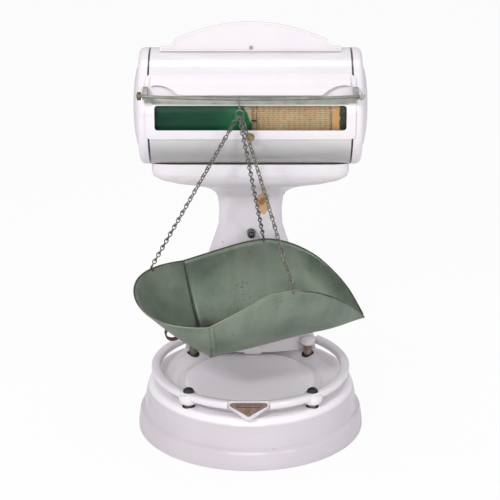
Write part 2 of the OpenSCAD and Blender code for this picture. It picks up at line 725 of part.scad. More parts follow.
module crest_screw() {
    color(steel) {
        along_y(crest_y - 2.6, crest_y - 1.1, 3, 1, crest_seat + 6.5);
        along_y(crest_y - 2, crest_y + 3, 1.5, 1, crest_seat + 6.5);
    }
}

// Hook over the rod, with an eye for the three chains
module chain_hook() {
    r = rod_d / 2 + hook_wire + 0.25;
    shank_y = r * cos(220);
    color(steel) translate([hook_x, rod_y, 0]) {
        translate([0, 0, hook_z]) rotate([90, 0, 90]) rotate(-40)
            rotate_extrude(angle = 260, $fn = 32) translate([r, 0]) circle(r = hook_wire, $fn = 16);
        translate([0, shank_y, eye_z + hook_eye]) cylinder(
            h = hook_z + r * sin(220) - eye_z - hook_eye + 0.3, r = hook_wire, $fn = 16);
        translate([0, shank_y, eye_z]) rotate([90, 0, 0])
            rotate_extrude($fn = 32) translate([hook_eye, 0]) circle(r = hook_wire, $fn = 16);
    }
}

// Scoop: half a barrel of tin, cut back to a lip and closed by a flared end
hole_u = 66;
seam_u = -78;
function rim_w(u) = u > hole_u
    ? mix(10, -103, pow((u - hole_u) / (lip_reach - hole_u), 1.25))
    : u > seam_u ? mix(-44, 10, step01((u - seam_u) / (hole_u - seam_u)))
    : mix(-44, -24, (seam_u - u) / (end_reach + seam_u));
function floor_w(u) = u > hole_u
    ? -scoop_d + 19 * pow((u - hole_u) / (lip_reach - hole_u), 2)
    : u > seam_u ? -scoop_d
    : mix(-scoop_d, -27, pow((seam_u - u) / (end_reach + seam_u), 1.3));
function half_w(u) = u > hole_u
    ? let (w = min(rim_w(u), 0)) max(6, scoop_w * sqrt(max(0, 1 - pow(w / (scoop_d - 4), 2))))
    : u > seam_u ? mix(110, scoop_w, step01((u - seam_u) / (hole_u - seam_u)))
    : max(6, 110 * sqrt(max(0, 1 - pow((seam_u - u) / (end_reach + seam_u), 2))));
scoop_half = 12;
function scoop_section(u, t) = let (a = u > hole_u ? mix(88, 55, (u - hole_u) / (lip_reach - hole_u)) : 88)
    [for (i = [-scoop_half:scoop_half]) let (s = a * i / scoop_half,
        bead = abs(i) == scoop_half && t > 0 ? 1.6 : 0)
        [u, (half_w(u) + t + bead) * sin(s) / sin(a),
            mix(floor_w(u) - t, rim_w(u), (1 - cos(s)) / (1 - cos(a)))]];
module scoop_shell(us, t) {
    m = 2 * scoop_half + 1;
    n = 2 * m;
    last = len(us) - 1;
    rings = [for (u = us) concat(scoop_section(u, 0), [for (q = [m - 1:-1:0]) scoop_section(u, t)[q]])];
    polyhedron(
        points = [for (ring = rings) each ring],
        faces = concat(
            [for (i = [0:m - 2]) each [[i, n - 1 - i, i + 1], [i + 1, n - 1 - i, n - 2 - i]]],
            [for (k = [0:last - 1]) for (i = [0:n - 1])
                each [[k * n + i, k * n + (i + 1) % n, (k + 1) * n + i],
                      [k * n + (i + 1) % n, (k + 1) * n + (i + 1) % n, (k + 1) * n + i]]],
            [for (i = [0:m - 2]) let (b = last * n)
                each [[b + i, b + i + 1, b + n - 1 - i], [b + i + 1, b + n - 2 - i, b + n - 1 - i]]]),
        convexity = 8);
}
module scoop_place() {
    translate([scoop_x, scoop_y, scoop_z]) rotate(scoop_yaw) rotate([scoop_roll, 0, 0]) children();
}
function along(a, b, n) = [for (i = [0:n]) mix(a, b, i / n)];
module scoop_pan() {
    color(tin_green) difference() {
        scoop_place() scoop_shell(
            concat(along(seam_u + gap, hole_u, 6), along(hole_u + 12, lip_reach, 10)), tin);
        for (s = [-1, 1]) scoop_place() translate([hole_u, s * scoop_w, rim_w(hole_u) - 2.9 - loop_r])
            rotate([90, 0, 0]) cylinder(h = 20, r = 2.2, center = true, $fn = 16);
    }
}
module scoop_end_panel() {
    n = 9;
    color(tin_green) difference() {
        scoop_place() scoop_shell([for (i = [n:-1:0])
            seam_u - (end_reach + seam_u) * sin(88 * i / n)], end_tin);
        scoop_place() translate(end_hole) rotate([0, 0, end_hole_turn]) rotate([0, 90, 0])
            cylinder(h = 20, r = 2.2, center = true, $fn = 16);
    }
}
end_hole_turn = 133;
end_hole = [-142.2, 82.5, -39.4];

module scoop_handle() {
    color([0.3, 0.2, 0.16]) scoop_place() translate([-118, 0, -113.7]) rotate([90, 0, 0]) difference() {
        cylinder(h = 9, r = 13, center = true);
        cylinder(h = 11, r = 11, center = true);
        translate([-20, 6, -10]) cube([40, 20, 20]);
    }
}

// Chains: links of two eyes at right angles, from the split to the holes
function scoop_at(p) = let (y1 = p[1] * cos(scoop_roll) - p[2] * sin(scoop_roll),
    z1 = p[1] * sin(scoop_roll) + p[2] * cos(scoop_roll))
    [scoop_x + p[0] * cos(scoop_yaw) - y1 * sin(scoop_yaw),
     scoop_y + p[0] * sin(scoop_yaw) + y1 * cos(scoop_yaw), scoop_z + z1];
link_pitch = 4 * eye_r - link_wire - 0.3;
hook_spread = 3.8;
loop_r = 5.6;              // radius of the rings through the scoop's holes
module eye() {
    rotate_extrude($fn = 24) translate([eye_r, 0]) circle(d = link_wire, $fn = 16);
}
module link() {
    translate([0, 0, -eye_r]) rotate([90, 0, 0]) eye();
    translate([0, 0, eye_r]) rotate([90, 0, 90]) eye();
}
// A run of links between the wires at a and b, turned from spin0 to spin1
module chain(a, b, spin0, spin1) {
    d = (b - a) / norm(b - a);
    start = a - d * (link_wire / 2 + hook_wire + 0.15);
    end = b + d * (link_wire + 0.15);
    span = norm(end - start) - 4 * eye_r;
    n = ceil(span / link_pitch) + 1;
    for (i = [0:n - 1]) translate(start + d * (2 * eye_r + span * i / (n - 1)))
        rotate([0, acos(d[2]), atan2(d[1], d[0])]) rotate(mix(spin0, spin1, i / (n - 1))) link();
}
// A ring through a hole in the rim, facing along the rim
module rim_loop(centre, turn) {
    scoop_place() translate(centre) rotate([0, 90, turn])
        rotate_extrude($fn = 32) translate([loop_r, 0]) circle(d = link_wire, $fn = 16);
}
function hook_at(x) = [hook_x + x, rod_y + (rod_d / 2 + hook_wire + 0.25) * cos(220),
    eye_z - sqrt(hook_eye * hook_eye - x * x)];
side_loop = [hole_u, scoop_w + tin / 2 + 0.3, rim_w(hole_u) - 2.9];
end_loop = [-143.5, 84.3, -34];
module left_chain() {
    color(steel) {
        chain(hook_at(-hook_spread), scoop_at(end_loop + [0, 0, loop_r]), 70, 15);
        rim_loop(end_loop, end_hole_turn - 90);
    }
}
module far_chain() {
    color(steel) {
        chain(hook_at(0), scoop_at(side_loop + [0, 0, loop_r]), -15, -27);
        rim_loop(side_loop, 0);
    }
}
module near_chain() {
    near_loop = [side_loop[0], -side_loop[1], side_loop[2]];
    color(steel) {
        chain(hook_at(hook_spread), scoop_at(near_loop + [0, 0, loop_r]), 39, 27);
        rim_loop(near_loop, 0);
    }
}

base_casting();
column_casting();
barrel_cover();
left_end_cap();
right_end_cap();
window_bezel();
window_glass();
window_hood();
window_rail();
crest_plate();
crest_screw();
hanger_rod();
rod_nuts();
bezel_thumb_nut();
price_mask();
index_pointer();
chart_drum();
chart_sheet();
drum_spiders();
drum_shaft();
pinion();
left_bearing_bracket();
right_bearing_bracket();
rack();
draw_rod();
front_weighing_spring();
rear_weighing_spring();
main_lever();
lever_pins();
fulcrum_stands();
dashpot_cup();
dashpot_piston();
platform_ring();
platform_posts();
rubber_bumpers();
platform_cradle();
post_grommets();
level_plate();
level_vial();
level_screw();
zero_bushing();
zero_knob();
column_bolts();
front_left_foot();
front_right_foot();
rear_left_foot();
rear_right_foot();
chain_hook();
scoop_pan();
scoop_end_panel();
scoop_handle();
left_chain();
far_chain();
near_chain();
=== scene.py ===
# %% [markdown]
# A counter computing scale in white enamel, with a tin scoop on three chains.
# The metal frame comes ready-made. This lesson gives it finishes, from glossy
# enamel to printed paper, and draws three things anew: the scoop, its chains
# and the platform ring. First the frame is loaded.

# %% Load the frame
import math
import bpy
from mathutils import Matrix, Vector


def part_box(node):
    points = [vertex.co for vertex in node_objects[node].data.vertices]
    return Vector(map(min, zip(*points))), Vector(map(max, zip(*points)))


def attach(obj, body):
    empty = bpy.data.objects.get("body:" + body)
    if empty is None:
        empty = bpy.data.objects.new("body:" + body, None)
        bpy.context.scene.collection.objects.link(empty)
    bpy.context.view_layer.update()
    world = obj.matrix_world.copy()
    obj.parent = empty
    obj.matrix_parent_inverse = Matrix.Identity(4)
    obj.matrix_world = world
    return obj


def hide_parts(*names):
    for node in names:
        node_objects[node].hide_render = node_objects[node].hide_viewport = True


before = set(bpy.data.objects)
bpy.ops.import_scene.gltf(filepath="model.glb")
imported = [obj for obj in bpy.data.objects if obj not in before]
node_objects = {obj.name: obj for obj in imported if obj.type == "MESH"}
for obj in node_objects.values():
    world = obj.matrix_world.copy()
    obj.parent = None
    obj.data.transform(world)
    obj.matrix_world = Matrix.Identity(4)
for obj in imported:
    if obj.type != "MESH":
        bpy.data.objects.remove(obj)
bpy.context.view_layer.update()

print("frame loaded:", len(node_objects), "nodes")

# %% [markdown]
# The head is a barrel lying along X. Its axis is read from the barrel itself,
# so the drum's print and the window's paint can follow the curve. Lengths are
# metres here, as in all of Blender. What is drawn further down is set out in
# millimetres and times MM.

# %% Measures taken from the frame
MM = 0.001
barrel_low, barrel_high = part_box("barrel_cover")
AXIS_Y = (barrel_low.y + barrel_high.y) / 2
AXIS_Z = (barrel_low.z + barrel_high.z) / 2
print("barrel axis at y %.3f, z %.3f" % (AXIS_Y, AXIS_Z))

# %% [markdown]
# The camera stands a good way off with a long lens, a little above the head,
# as a catalogue photograph is taken. A long lens keeps the barrel's two ends
# level and the base's ellipse flat.

# %% Camera
LENS_MM = 115.2
SENSOR_MM = 36
SIDE_SHIFT = -0.001
CAMERA_AT = (0.0, -2.5433, 1.2405)
CAMERA_DOWN = 0.348
camera_data = bpy.data.cameras.new("catalogue_camera")
camera_data.lens = LENS_MM
camera_data.sensor_width = SENSOR_MM
camera_data.shift_x = SIDE_SHIFT
camera_data.clip_end = 50
camera = bpy.data.objects.new("catalogue_camera", camera_data)
camera.location = CAMERA_AT
camera.rotation_euler = (math.pi / 2 - CAMERA_DOWN, 0, 0)
bpy.context.scene.collection.objects.link(camera)
bpy.context.scene.camera = camera
bpy.context.scene.view_settings.view_transform = "Standard"
print("camera looks down %.0f degrees" % math.degrees(CAMERA_DOWN))

# %% [markdown]
# A small key lamp on the left throws the scoop's shadow to the right over the
# base. A wide lamp in front reaches under the barrel to the column, a small
# one on the right adds a second glint on the base, and a strip from above
# lights the barrel's top. Area lamps give the long soft highlights that
# enamel is known by.


# %% Lamps
def soft_lamp(name, place, aim, size, power):
    data = bpy.data.lights.new(name, "AREA")
    data.shape = "RECTANGLE"
    data.size, data.size_y = size
    data.energy = power
    lamp = bpy.data.objects.new(name, data)
    lamp.location = place
    direction = Vector(aim) - Vector(place)
    lamp.rotation_euler = direction.to_track_quat("-Z", "Y").to_euler()
    bpy.context.scene.collection.objects.link(lamp)
    print(name, "at", power, "watts")


soft_lamp("key_softbox", (-0.9, -1.75, 1.65), (0, 0, 0.25), (0.30, 0.30), 19)
soft_lamp("front_softbox", (-0.1, -2.4, 0.95), (0, 0, 0.35), (1.5, 0.7), 8)
soft_lamp("right_fill", (1.3, -1.7, 1.25), (0, 0, 0.2), (0.35, 0.45), 7)
soft_lamp("top_strip", (0, 0.5, 2.2), (0, 0.1, 0.5), (1.6, 0.5), 7)

# %% [markdown]
# The world fills the shadows with a dim, slightly cool light, but the camera
# sees plain white behind the scale. Light Path tells the two apart: a ray
# from the camera, or one that came through the glass, meets the white shader,
# and any other ray meets the fill.


# %% World
FILL_LEVEL = 0.63
FILL_TINT = (0.93, 0.92, 0.95, 1)
WHITE = (1, 1, 1, 1)


def empty_tree(owner):
    """Empties a node tree and returns its calls for adding and joining nodes."""
    owner.use_nodes = True
    owner.node_tree.nodes.clear()
    return owner.node_tree.nodes.new, owner.node_tree.links.new


def blend(add, join, share, first, second, output):
    """Mixes two shaders by a share and sends them to the output node."""
    mixer, end = add("ShaderNodeMixShader"), add(output)
    for socket, source in zip(mixer.inputs, (share, first.outputs[0], second.outputs[0])):
        join(source, socket)
    join(mixer.outputs[0], end.inputs[0])


world = bpy.data.worlds.new("studio")
bpy.context.scene.world = world
add, join = empty_tree(world)
paths = add("ShaderNodeLightPath")
seen = add("ShaderNodeMath")
seen.operation = "MAXIMUM"
join(paths.outputs["Is Camera Ray"], seen.inputs[0])
join(paths.outputs["Is Transmission Ray"], seen.inputs[1])
fill = add("ShaderNodeBackground")
fill.inputs["Color"].default_value = FILL_TINT
fill.inputs["Strength"].default_value = FILL_LEVEL
white = add("ShaderNodeBackground")
white.inputs["Color"].default_value = WHITE
blend(add, join, seen.outputs[0], fill, white, "ShaderNodeOutputWorld")
print("world fills at", FILL_LEVEL)

# %% [markdown]
# The floor is a plain pale sheet. To the camera most of it is an even white
# glow, which joins it to the background, and the small matt share that is
# left keeps the scale's soft shadow.

# %% Floor
FLOOR_HALF = 6.0
FLOOR_PALE = (0.86, 0.86, 0.87, 1)
FLOOR_GLOW = 0.93
floor_mesh = bpy.data.meshes.new("floor")
floor_mesh.from_pydata(
    [(-FLOOR_HALF, -FLOOR_HALF, 0), (FLOOR_HALF, -FLOOR_HALF, 0),
     (FLOOR_HALF, FLOOR_HALF, 0), (-FLOOR_HALF, FLOOR_HALF, 0)], [], [(0, 1, 2, 3)])
floor = bpy.data.objects.new("floor", floor_mesh)
bpy.context.scene.collection.objects.link(floor)
floor_paint = bpy.data.materials.new("pale floor")
add, join = empty_tree(floor_paint)
floor_path = add("ShaderNodeLightPath")
floor_matt = add("ShaderNodeBsdfDiffuse")
floor_matt.inputs["Color"].default_value = FLOOR_PALE
floor_white = add("ShaderNodeEmission")
floor_white.inputs["Strength"].default_value = 1.0
floor_share = add("ShaderNodeMath")
floor_share.operation = "MULTIPLY"
floor_share.inputs[1].default_value = FLOOR_GLOW
join(floor_path.outputs["Is Camera Ray"], floor_share.inputs[0])
blend(add, join, floor_share.outputs[0], floor_matt, floor_white, "ShaderNodeOutputMaterial")
floor_mesh.materials.append(floor_paint)
print("floor laid, %.0f m across" % (2 * FLOOR_HALF))

# %% [markdown]
# Materials are node trees, and the same few steps come back in each: take a
# point's place on the object, shape it with noise or a ramp, and mix two
# colours by it. A small class keeps these steps short. Each helper adds one
# node and returns its socket, so that calls can be nested like a formula.


# %% A small kit for node materials
class Finish:
    """A Principled material, with helpers that return sockets."""

    def __init__(self, name, rough=0.4, metal=0.0):
        self.material = bpy.data.materials.new(name)
        self.material.use_nodes = True
        self.nodes = self.material.node_tree.nodes
        self.links = self.material.node_tree.links
        self.shader = self.nodes["Principled BSDF"]
        self.set(roughness=rough, metallic=metal)
        self.place = self.nodes.new("ShaderNodeTexCoord").outputs["Object"]

    def set(self, **settings):
        """Constants for the shader, such as coat_weight=0.5."""
        names = {socket.name.lower().replace(" ", "_"): socket for socket in self.shader.inputs}
        for name, value in settings.items():
            names[name].default_value = value

    def feed(self, socket, value):
        """Gives a socket a number, a colour or a link."""
        if isinstance(value, tuple):
            socket.default_value = value + (1,) if socket.type == "RGBA" else value
        elif isinstance(value, (int, float)):
            socket.default_value = value
        else:
            self.links.new(value, socket)

    def math(self, operation, *values):
        node = self.nodes.new("ShaderNodeMath")
        node.operation = operation
        for socket, value in zip(node.inputs, values):
            self.feed(socket, value)
        return node.outputs[0]

    def times(self, *values):
        product = values[0]
        for value in values[1:]:
            product = self.math("MULTIPLY", product, value)
        return product

    def inverse(self, value):
        return self.math("SUBTRACT", 1.0, value)

    def mix(self, share, first, second):
        node = self.nodes.new("ShaderNodeMix")
        node.data_type = "RGBA"
        sockets = node.inputs[0], node.inputs[6], node.inputs[7]
        for socket, value in zip(sockets, (share, first, second)):
            self.feed(socket, value)
        return node.outputs[2]

    def colour(self, value):
        self.feed(self.shader.inputs["Base Color"], value)

    def over(self, share, second):
        """Lays a second colour over what is there."""
        under = self.shader.inputs["Base Color"].links[0].from_socket
        self.colour(self.mix(share, under, second))

    def roughness(self, value):
        self.feed(self.shader.inputs["Roughness"], value)


print("kit for colours ready")

# %% [markdown]
# They are functions on a Finish, kept apart so that each cell stays short.


def noise(paint, scale, detail=4.0, rough=0.55, at=None):
    node = paint.nodes.new("ShaderNodeTexNoise")
    node.inputs["Scale"].default_value = scale
    node.inputs["Detail"].default_value = detail
    node.inputs["Roughness"].default_value = rough
    paint.links.new(at or paint.place, node.inputs["Vector"])
    return node.outputs["Fac"]


def band(paint, value, low, high):
    """0 below low, 1 above high, smooth between."""
    node = paint.nodes.new("ShaderNodeMapRange")
    node.interpolation_type = "SMOOTHSTEP"
    node.inputs["From Min"].default_value = low
    node.inputs["From Max"].default_value = high
    paint.links.new(value, node.inputs["Value"])
    return node.outputs[0]


def between(paint, value, low, high, soft):
    """1 from low to high, with both flanks soft."""
    return paint.times(band(paint, value, low, low + soft),
                       paint.inverse(band(paint, value, high, high + soft)))


def clouds(paint, scale, detail, low, high, rough=0.55):
    """Noise with its contrast raised."""
    return band(paint, noise(paint, scale, detail, rough), low, high)


def xyz(paint):
    node = paint.nodes.new("ShaderNodeSeparateXYZ")
    paint.links.new(paint.place, node.inputs[0])
    return node.outputs[0], node.outputs[1], node.outputs[2]


def near(paint, point, radii):
    """The distance from a point, in units of the three radii."""
    node = paint.nodes.new("ShaderNodeMapping")
    node.vector_type = "TEXTURE"
    node.inputs["Location"].default_value = point
    node.inputs["Scale"].default_value = radii
    paint.links.new(paint.place, node.inputs["Vector"])
    length = paint.nodes.new("ShaderNodeVectorMath")
    length.operation = "LENGTH"
    paint.links.new(node.outputs[0], length.inputs[0])
    return length.outputs["Value"]


def crevice(paint, reach, low=0.35, high=0.85):
    """1 in tight corners, 0 in the open."""
    node = paint.nodes.new("ShaderNodeAmbientOcclusion")
    node.samples = 8
    node.inputs["Distance"].default_value = reach
    return paint.inverse(band(paint, node.outputs["AO"], low, high))


def bump(paint, height, distance, strength=1.0):
    node = paint.nodes.new("ShaderNodeBump")
    node.inputs["Distance"].default_value = distance
    node.inputs["Strength"].default_value = strength
    paint.links.new(height, node.inputs["Height"])
    paint.links.new(node.outputs[0], paint.shader.inputs["Normal"])


print("kit for patterns ready")

# %% [markdown]
# Enamel is glass fired on iron: white with a faint lilac cast, very smooth,
# and a little wavy. It is painted grey in the corners as painted shade, and
# it has small brown chips. One maker serves all enamelled pieces, so that
# they age alike, and a thin clear coat over the paint gives the glassy top.

# %% White enamel
ENAMEL = (0.80, 0.755, 0.80)
ENAMEL_WARM = (0.83, 0.79, 0.81)
# The grey and the reach of the painted shade in the enamel's corners.
ENAMEL_SHADE_GREY = (0.43, 0.40, 0.40)
ENAMEL_SHADE_REACH = 0.012
CHIP_BROWN = (0.16, 0.075, 0.04)


def enamel(name, wear=0.5, base=ENAMEL, warm=ENAMEL_WARM, rough=0.16):
    paint = Finish(name, rough)
    paint.colour(paint.mix(clouds(paint, 5.0, 3, 0.35, 0.65), base, warm))
    # Painted shade: the corners are greyed by ambient occlusion.
    paint.over(paint.times(crevice(paint, ENAMEL_SHADE_REACH), 0.42), ENAMEL_SHADE_GREY)
    specks = clouds(paint, 210.0, 2, 0.735, 0.76, 0.4)
    patches = clouds(paint, 14.0, 2, 0.60, 0.70)
    paint.over(paint.times(specks, paint.times(patches, wear)), CHIP_BROWN)
    smear = clouds(paint, 22.0, 4, 0.3, 0.7)
    paint.roughness(paint.math("MULTIPLY_ADD", smear, 0.10, rough - 0.03))
    bump(paint, noise(paint, 55.0, 2, 0.4), 0.0006, 0.35)
    paint.set(coat_weight=0.35, coat_roughness=0.06)
    return paint


enamel_finish = enamel("white enamel")
print("enamel ready")

# %% [markdown]
# At the column's neck the enamel has worn through. Such a patch is ragged: its
# outline is a stretched ball with noise added to its radius. Under the enamel
# the ground coat shows tan, with darker rust in the middle. A ball in space is
# used rather than a painted map, since it needs no unwrapping.

# %% Worn enamel of the column
PATCH_AT = (0.021, 0.101, 0.372)
PATCH_RADII = (0.0135, 0.04, 0.034)
GROUND_TAN, RUST = (0.66, 0.43, 0.25), (0.40, 0.19, 0.08)


def add_patch(paint, point, radii, ragged, outer, inner):
    wobble = paint.math("MULTIPLY_ADD", noise(paint, ragged, 5, 0.65), 1.5, -0.75)
    shape = paint.math("ADD", near(paint, point, radii), wobble)
    inside = paint.inverse(band(paint, shape, 0.72, 0.86))
    deep = paint.inverse(band(paint, shape, 0.15, 0.5))
    paint.over(inside, paint.mix(deep, outer, inner))


column_finish = enamel("column enamel", 0.4)
add_patch(column_finish, PATCH_AT, PATCH_RADII, 75.0, GROUND_TAN, RUST)
print("worn patch at", PATCH_AT)

# %% [markdown]
# The barrel is sheet metal under thinner paint. Its lower half gets painted
# shade, darker towards the bottom, and a dark line stays where the caps meet
# it. Both follow from a point's place: the shade from its height, the line
# from its distance along X.

# %% Barrel paint
SEAM_X = 0.1660
SEAM_EDGE = 0.0004
SEAM_BLACK = (0.03, 0.028, 0.028)
SHADE_FROM_Z, SHADE_TO_Z = 0.540, 0.445
BARREL_SHADE = (0.15, 0.155, 0.125)
barrel_finish = enamel("barrel paint", 0.35, (0.74, 0.72, 0.735), (0.79, 0.765, 0.775), 0.2)
barrel_x, barrel_z = xyz(barrel_finish)[::2]
# Painted shade: the barrel is darkened towards the bottom, unevenly.
low_shade = barrel_finish.inverse(band(barrel_finish, barrel_z, SHADE_TO_Z, SHADE_FROM_Z))
uneven = barrel_finish.math("MULTIPLY_ADD", noise(barrel_finish, 9.0, 5), 0.5, 0.55)
barrel_finish.over(barrel_finish.times(low_shade, uneven, 0.85), BARREL_SHADE)
seam = band(barrel_finish, barrel_finish.math("ABSOLUTE", barrel_x), SEAM_X, SEAM_X + SEAM_EDGE)
barrel_finish.over(seam, SEAM_BLACK)
print("barrel seams at x +-%.3f" % SEAM_X)

# %% [markdown]
# The base is the piece that gets knocked and wiped. Its sides are painted
# darker as painted shade and its flat deck lighter as painted light, and one
# chip on the left shoulder goes down to the iron. The deck could be a second
# material, but its height alone tells it from the sides, so one ramp in the
# same paint does it.

# %% Base enamel
DECK_FROM, DECK_TO = 0.073, 0.079
DECK_PAINTED_LIGHT = (0.90, 0.855, 0.895)
CHIP_AT, CHIP_RADII = (-0.168, -0.055, 0.062), (0.006, 0.006, 0.004)
# Painted shade and painted light: darker enamel on the sides, a lighter white on the flat deck.
base_finish = enamel("base enamel", 0.9, (0.62, 0.565, 0.605), (0.65, 0.60, 0.635), 0.15)
base_finish.over(band(base_finish, xyz(base_finish)[2], DECK_FROM, DECK_TO), DECK_PAINTED_LIGHT)
add_patch(base_finish, CHIP_AT, CHIP_RADII, 300.0, (0.45, 0.25, 0.13), (0.2, 0.09, 0.05))
print("deck starts at z", DECK_TO)

# %% [markdown]
# The scoop is tinned sheet with old grey-green paint. It shows a soft mottle,
# fine vertical streaks, dark specks in the bowl and darker edges. Painted shade
# darkens its hollows and lies dark in the inside corner at the closed end.
# Each is one thin layer over the last, from the broad ones to the fine ones.

# %% Grey-green tin
TIN = (0.115, 0.155, 0.115)
TIN_PALE = (0.185, 0.225, 0.170)
TIN_STREAK = (0.26, 0.30, 0.25)
TIN_DARK = (0.045, 0.055, 0.04)
SPECK = (0.03, 0.03, 0.025)
SPECKS_AT, SPECKS_RADII = (-0.012, 0.021, 0.234), (0.036, 0.05, 0.036)
HOLLOW_SHADE = (0.07, 0.065, 0.045)
CORNER_AT, CORNER_RADII = (-0.066, -0.035, 0.166), (0.052, 0.060, 0.040)
INSIDE_CORNER_SHADE = (0.028, 0.016, 0.014)
tin = Finish("grey-green tin", 0.5, 0.25)
mottle = clouds(tin, 16.0, 6, 0.3, 0.7, 0.65)
tin.colour(tin.mix(mottle, TIN, TIN_PALE))
stretched = tin.nodes.new("ShaderNodeMapping")
stretched.inputs["Scale"].default_value = (3.0, 3.0, 0.35)
tin.links.new(tin.place, stretched.inputs["Vector"])
streak = band(tin, noise(tin, 9.0, 5, 0.6, stretched.outputs[0]), 0.35, 0.7)
tin.over(tin.times(streak, 0.35), TIN_STREAK)
tin.over(tin.times(clouds(tin, 190.0, 3, 0.60, 0.72, 0.6), 0.35), TIN_DARK)
spot = tin.inverse(band(tin, near(tin, SPECKS_AT, SPECKS_RADII), 0.4, 1.0))
tin.over(tin.times(clouds(tin, 270.0, 2, 0.60, 0.66, 0.5), spot, 0.8), SPECK)
# Painted shade: the bowl's hollows are darkened by ambient occlusion.
tin.over(tin.times(crevice(tin, 0.05, 0.25, 0.8), 0.45), HOLLOW_SHADE)
# Painted shade lies dark in the inside corner at the closed end, a ragged ball above the seat.
edge_noise = tin.times(noise(tin, 35.0, 4), 0.5)
corner = band(tin, tin.math("ADD", near(tin, CORNER_AT, CORNER_RADII), edge_noise), 0.75, 1.45)
above_seat = band(tin, xyz(tin)[2], 0.150, 0.161)
tin.over(tin.times(tin.inverse(corner), above_seat), INSIDE_CORNER_SHADE)
tin.roughness(tin.math("MULTIPLY_ADD", mottle, 0.2, 0.38))
bump(tin, noise(tin, 60.0, 4, 0.6), 0.0008, 0.45)
print("tin ready, painted_shade at", CORNER_AT)

# %% [markdown]
# The rolled rim and the seam have lost their paint to handling. They get a
# finish of their own, dark and a little shinier. Along the near edge, on the
# left, which faces the key lamp, the rim is painted pale as painted light.

# %% Dark rim of the tin
RIM_DARK, RIM_BROWN, RIM_PAINTED_LIGHT = (0.05, 0.055, 0.038), (0.12, 0.12, 0.08), (0.24, 0.26, 0.19)
rim_tin = Finish("handled tin rim", 0.42, 0.4)
rim_tin.colour(rim_tin.mix(clouds(rim_tin, 70.0, 4, 0.35, 0.7), RIM_DARK, RIM_BROWN))
rim_x, rim_y = xyz(rim_tin)[:2]
near_side = rim_tin.inverse(band(rim_tin, rim_y, -0.12, -0.10))
left_part = rim_tin.inverse(band(rim_tin, rim_x, 0.06, 0.10))
# Painted light: the near part of the rim, on the left, is painted pale.
rim_tin.over(rim_tin.times(near_side, left_part), RIM_PAINTED_LIGHT)
bump(rim_tin, noise(rim_tin, 160.0, 3), 0.0003, 0.4)
print("rim finish ready")

# %% [markdown]
# The chart is printed paper on the drum. It is drawn by rule: the height of a
# line of figures is an arc on the drum, and a column is a step along X. Each
# cell holds a speck of ink shaped by noise, which reads as figures from a
# step away, with ruled lines between the columns and slanting orange rows.

# %% Printed chart
ROW = 0.0034
COLUMN = 0.0085
SLANT, STRIPE = 0.35, 0.0055
CHART_R = 0.0824
PAPER, PAPER_PALE = (0.50, 0.37, 0.22), (0.60, 0.46, 0.29)
ORANGE_INK, BROWN_INK, RULE_INK = (0.66, 0.33, 0.16), (0.11, 0.055, 0.03), (0.33, 0.16, 0.08)
chart = Finish("printed chart", 0.65)
chart.set(specular_ior_level=0.15)
chart_x, chart_y, chart_z = xyz(chart)
round_axis = chart.math("ARCTAN2", chart.math("SUBTRACT", chart_z, AXIS_Z),
                        chart.math("SUBTRACT", AXIS_Y, chart_y))
arc = chart.times(round_axis, CHART_R)
row_place = chart.math("FRACT", chart.math("DIVIDE", arc, ROW))
column_place = chart.math("FRACT", chart.math("DIVIDE", chart_x, COLUMN))
in_row = between(chart, row_place, 0.22, 0.72, 0.08)
in_column = between(chart, column_place, 0.14, 0.80, 0.04)
ink = chart.times(in_row, in_column, clouds(chart, 900.0, 1, 0.44, 0.5, 0.4))
slant = chart.math("ADD", chart.times(chart_x, SLANT), arc)
stripes = band(chart, chart.math("PINGPONG", chart.math("DIVIDE", slant, STRIPE), 0.5), 0.22, 0.32)
tinted = chart.times(stripes, clouds(chart, 45.0, 2, 0.42, 0.58))
ruled = chart.inverse(band(chart, chart.math("PINGPONG", column_place, 0.5), 0.03, 0.05))
chart.colour(chart.mix(clouds(chart, 30.0, 4, 0.3, 0.7), PAPER, PAPER_PALE))
chart.over(chart.times(tinted, 0.75), ORANGE_INK)
chart.over(chart.times(ink, 0.75), BROWN_INK)
chart.over(chart.times(ruled, 0.6), RULE_INK)
print("chart ruled every %.1f mm" % (COLUMN / MM))

# %% [markdown]
# The mask behind the glass is a steel plate in deep green, brighter toward its
# right edge, where the paint ends in a ragged line on bare tan. Its far right
# end is a tan strip with an orange band and a dark end, beside the chart's
# last column. All of it is one plate, so it is painted by place.

# %% Green mask
GREEN, GREEN_LIT, GREEN_DEEP = (0.006, 0.058, 0.028), (0.02, 0.17, 0.065), (0.006, 0.028, 0.02)
PAINT_END, PAINT_LEAN = 0.0035, 0.45
BARE_TAN = (0.42, 0.35, 0.22)
STRIP_FROM, STRIP_LOW = 0.1315, 0.5285
ORANGE_FROM, ORANGE_TO = 0.1358, 0.1441
DARK_FROM, DARK_FULL = 0.1478, 0.1505
STRIP_TAN, STRIP_ORANGE, STRIP_DARK = (0.52, 0.36, 0.20), (0.68, 0.33, 0.13), (0.055, 0.055, 0.03)
mask = Finish("green mask", 0.35)
mask.set(specular_ior_level=0.12)
mask_x, mask_z = xyz(mask)[::2]
mask.colour(mask.mix(band(mask, mask_x, -0.07, 0.0), GREEN, GREEN_LIT))
mask.over(mask.times(clouds(mask, 16.0, 4, 0.42, 0.7), 0.8), GREEN_DEEP)
lean = mask.times(mask.math("SUBTRACT", mask_z, AXIS_Z), PAINT_LEAN)
ragged_x = mask.math("ADD", mask.math("ADD", mask_x, lean),
                     mask.times(noise(mask, 150.0, 4), 0.010))
mask.over(band(mask, ragged_x, PAINT_END, PAINT_END + 0.001), BARE_TAN)
orange_band = between(mask, mask_x, ORANGE_FROM, ORANGE_TO, 0.0004)
strip_colour = mask.mix(orange_band, STRIP_TAN, STRIP_ORANGE)
mottled_x = mask.math("ADD", mask_x, mask.times(noise(mask, 120.0, 3), 0.006))
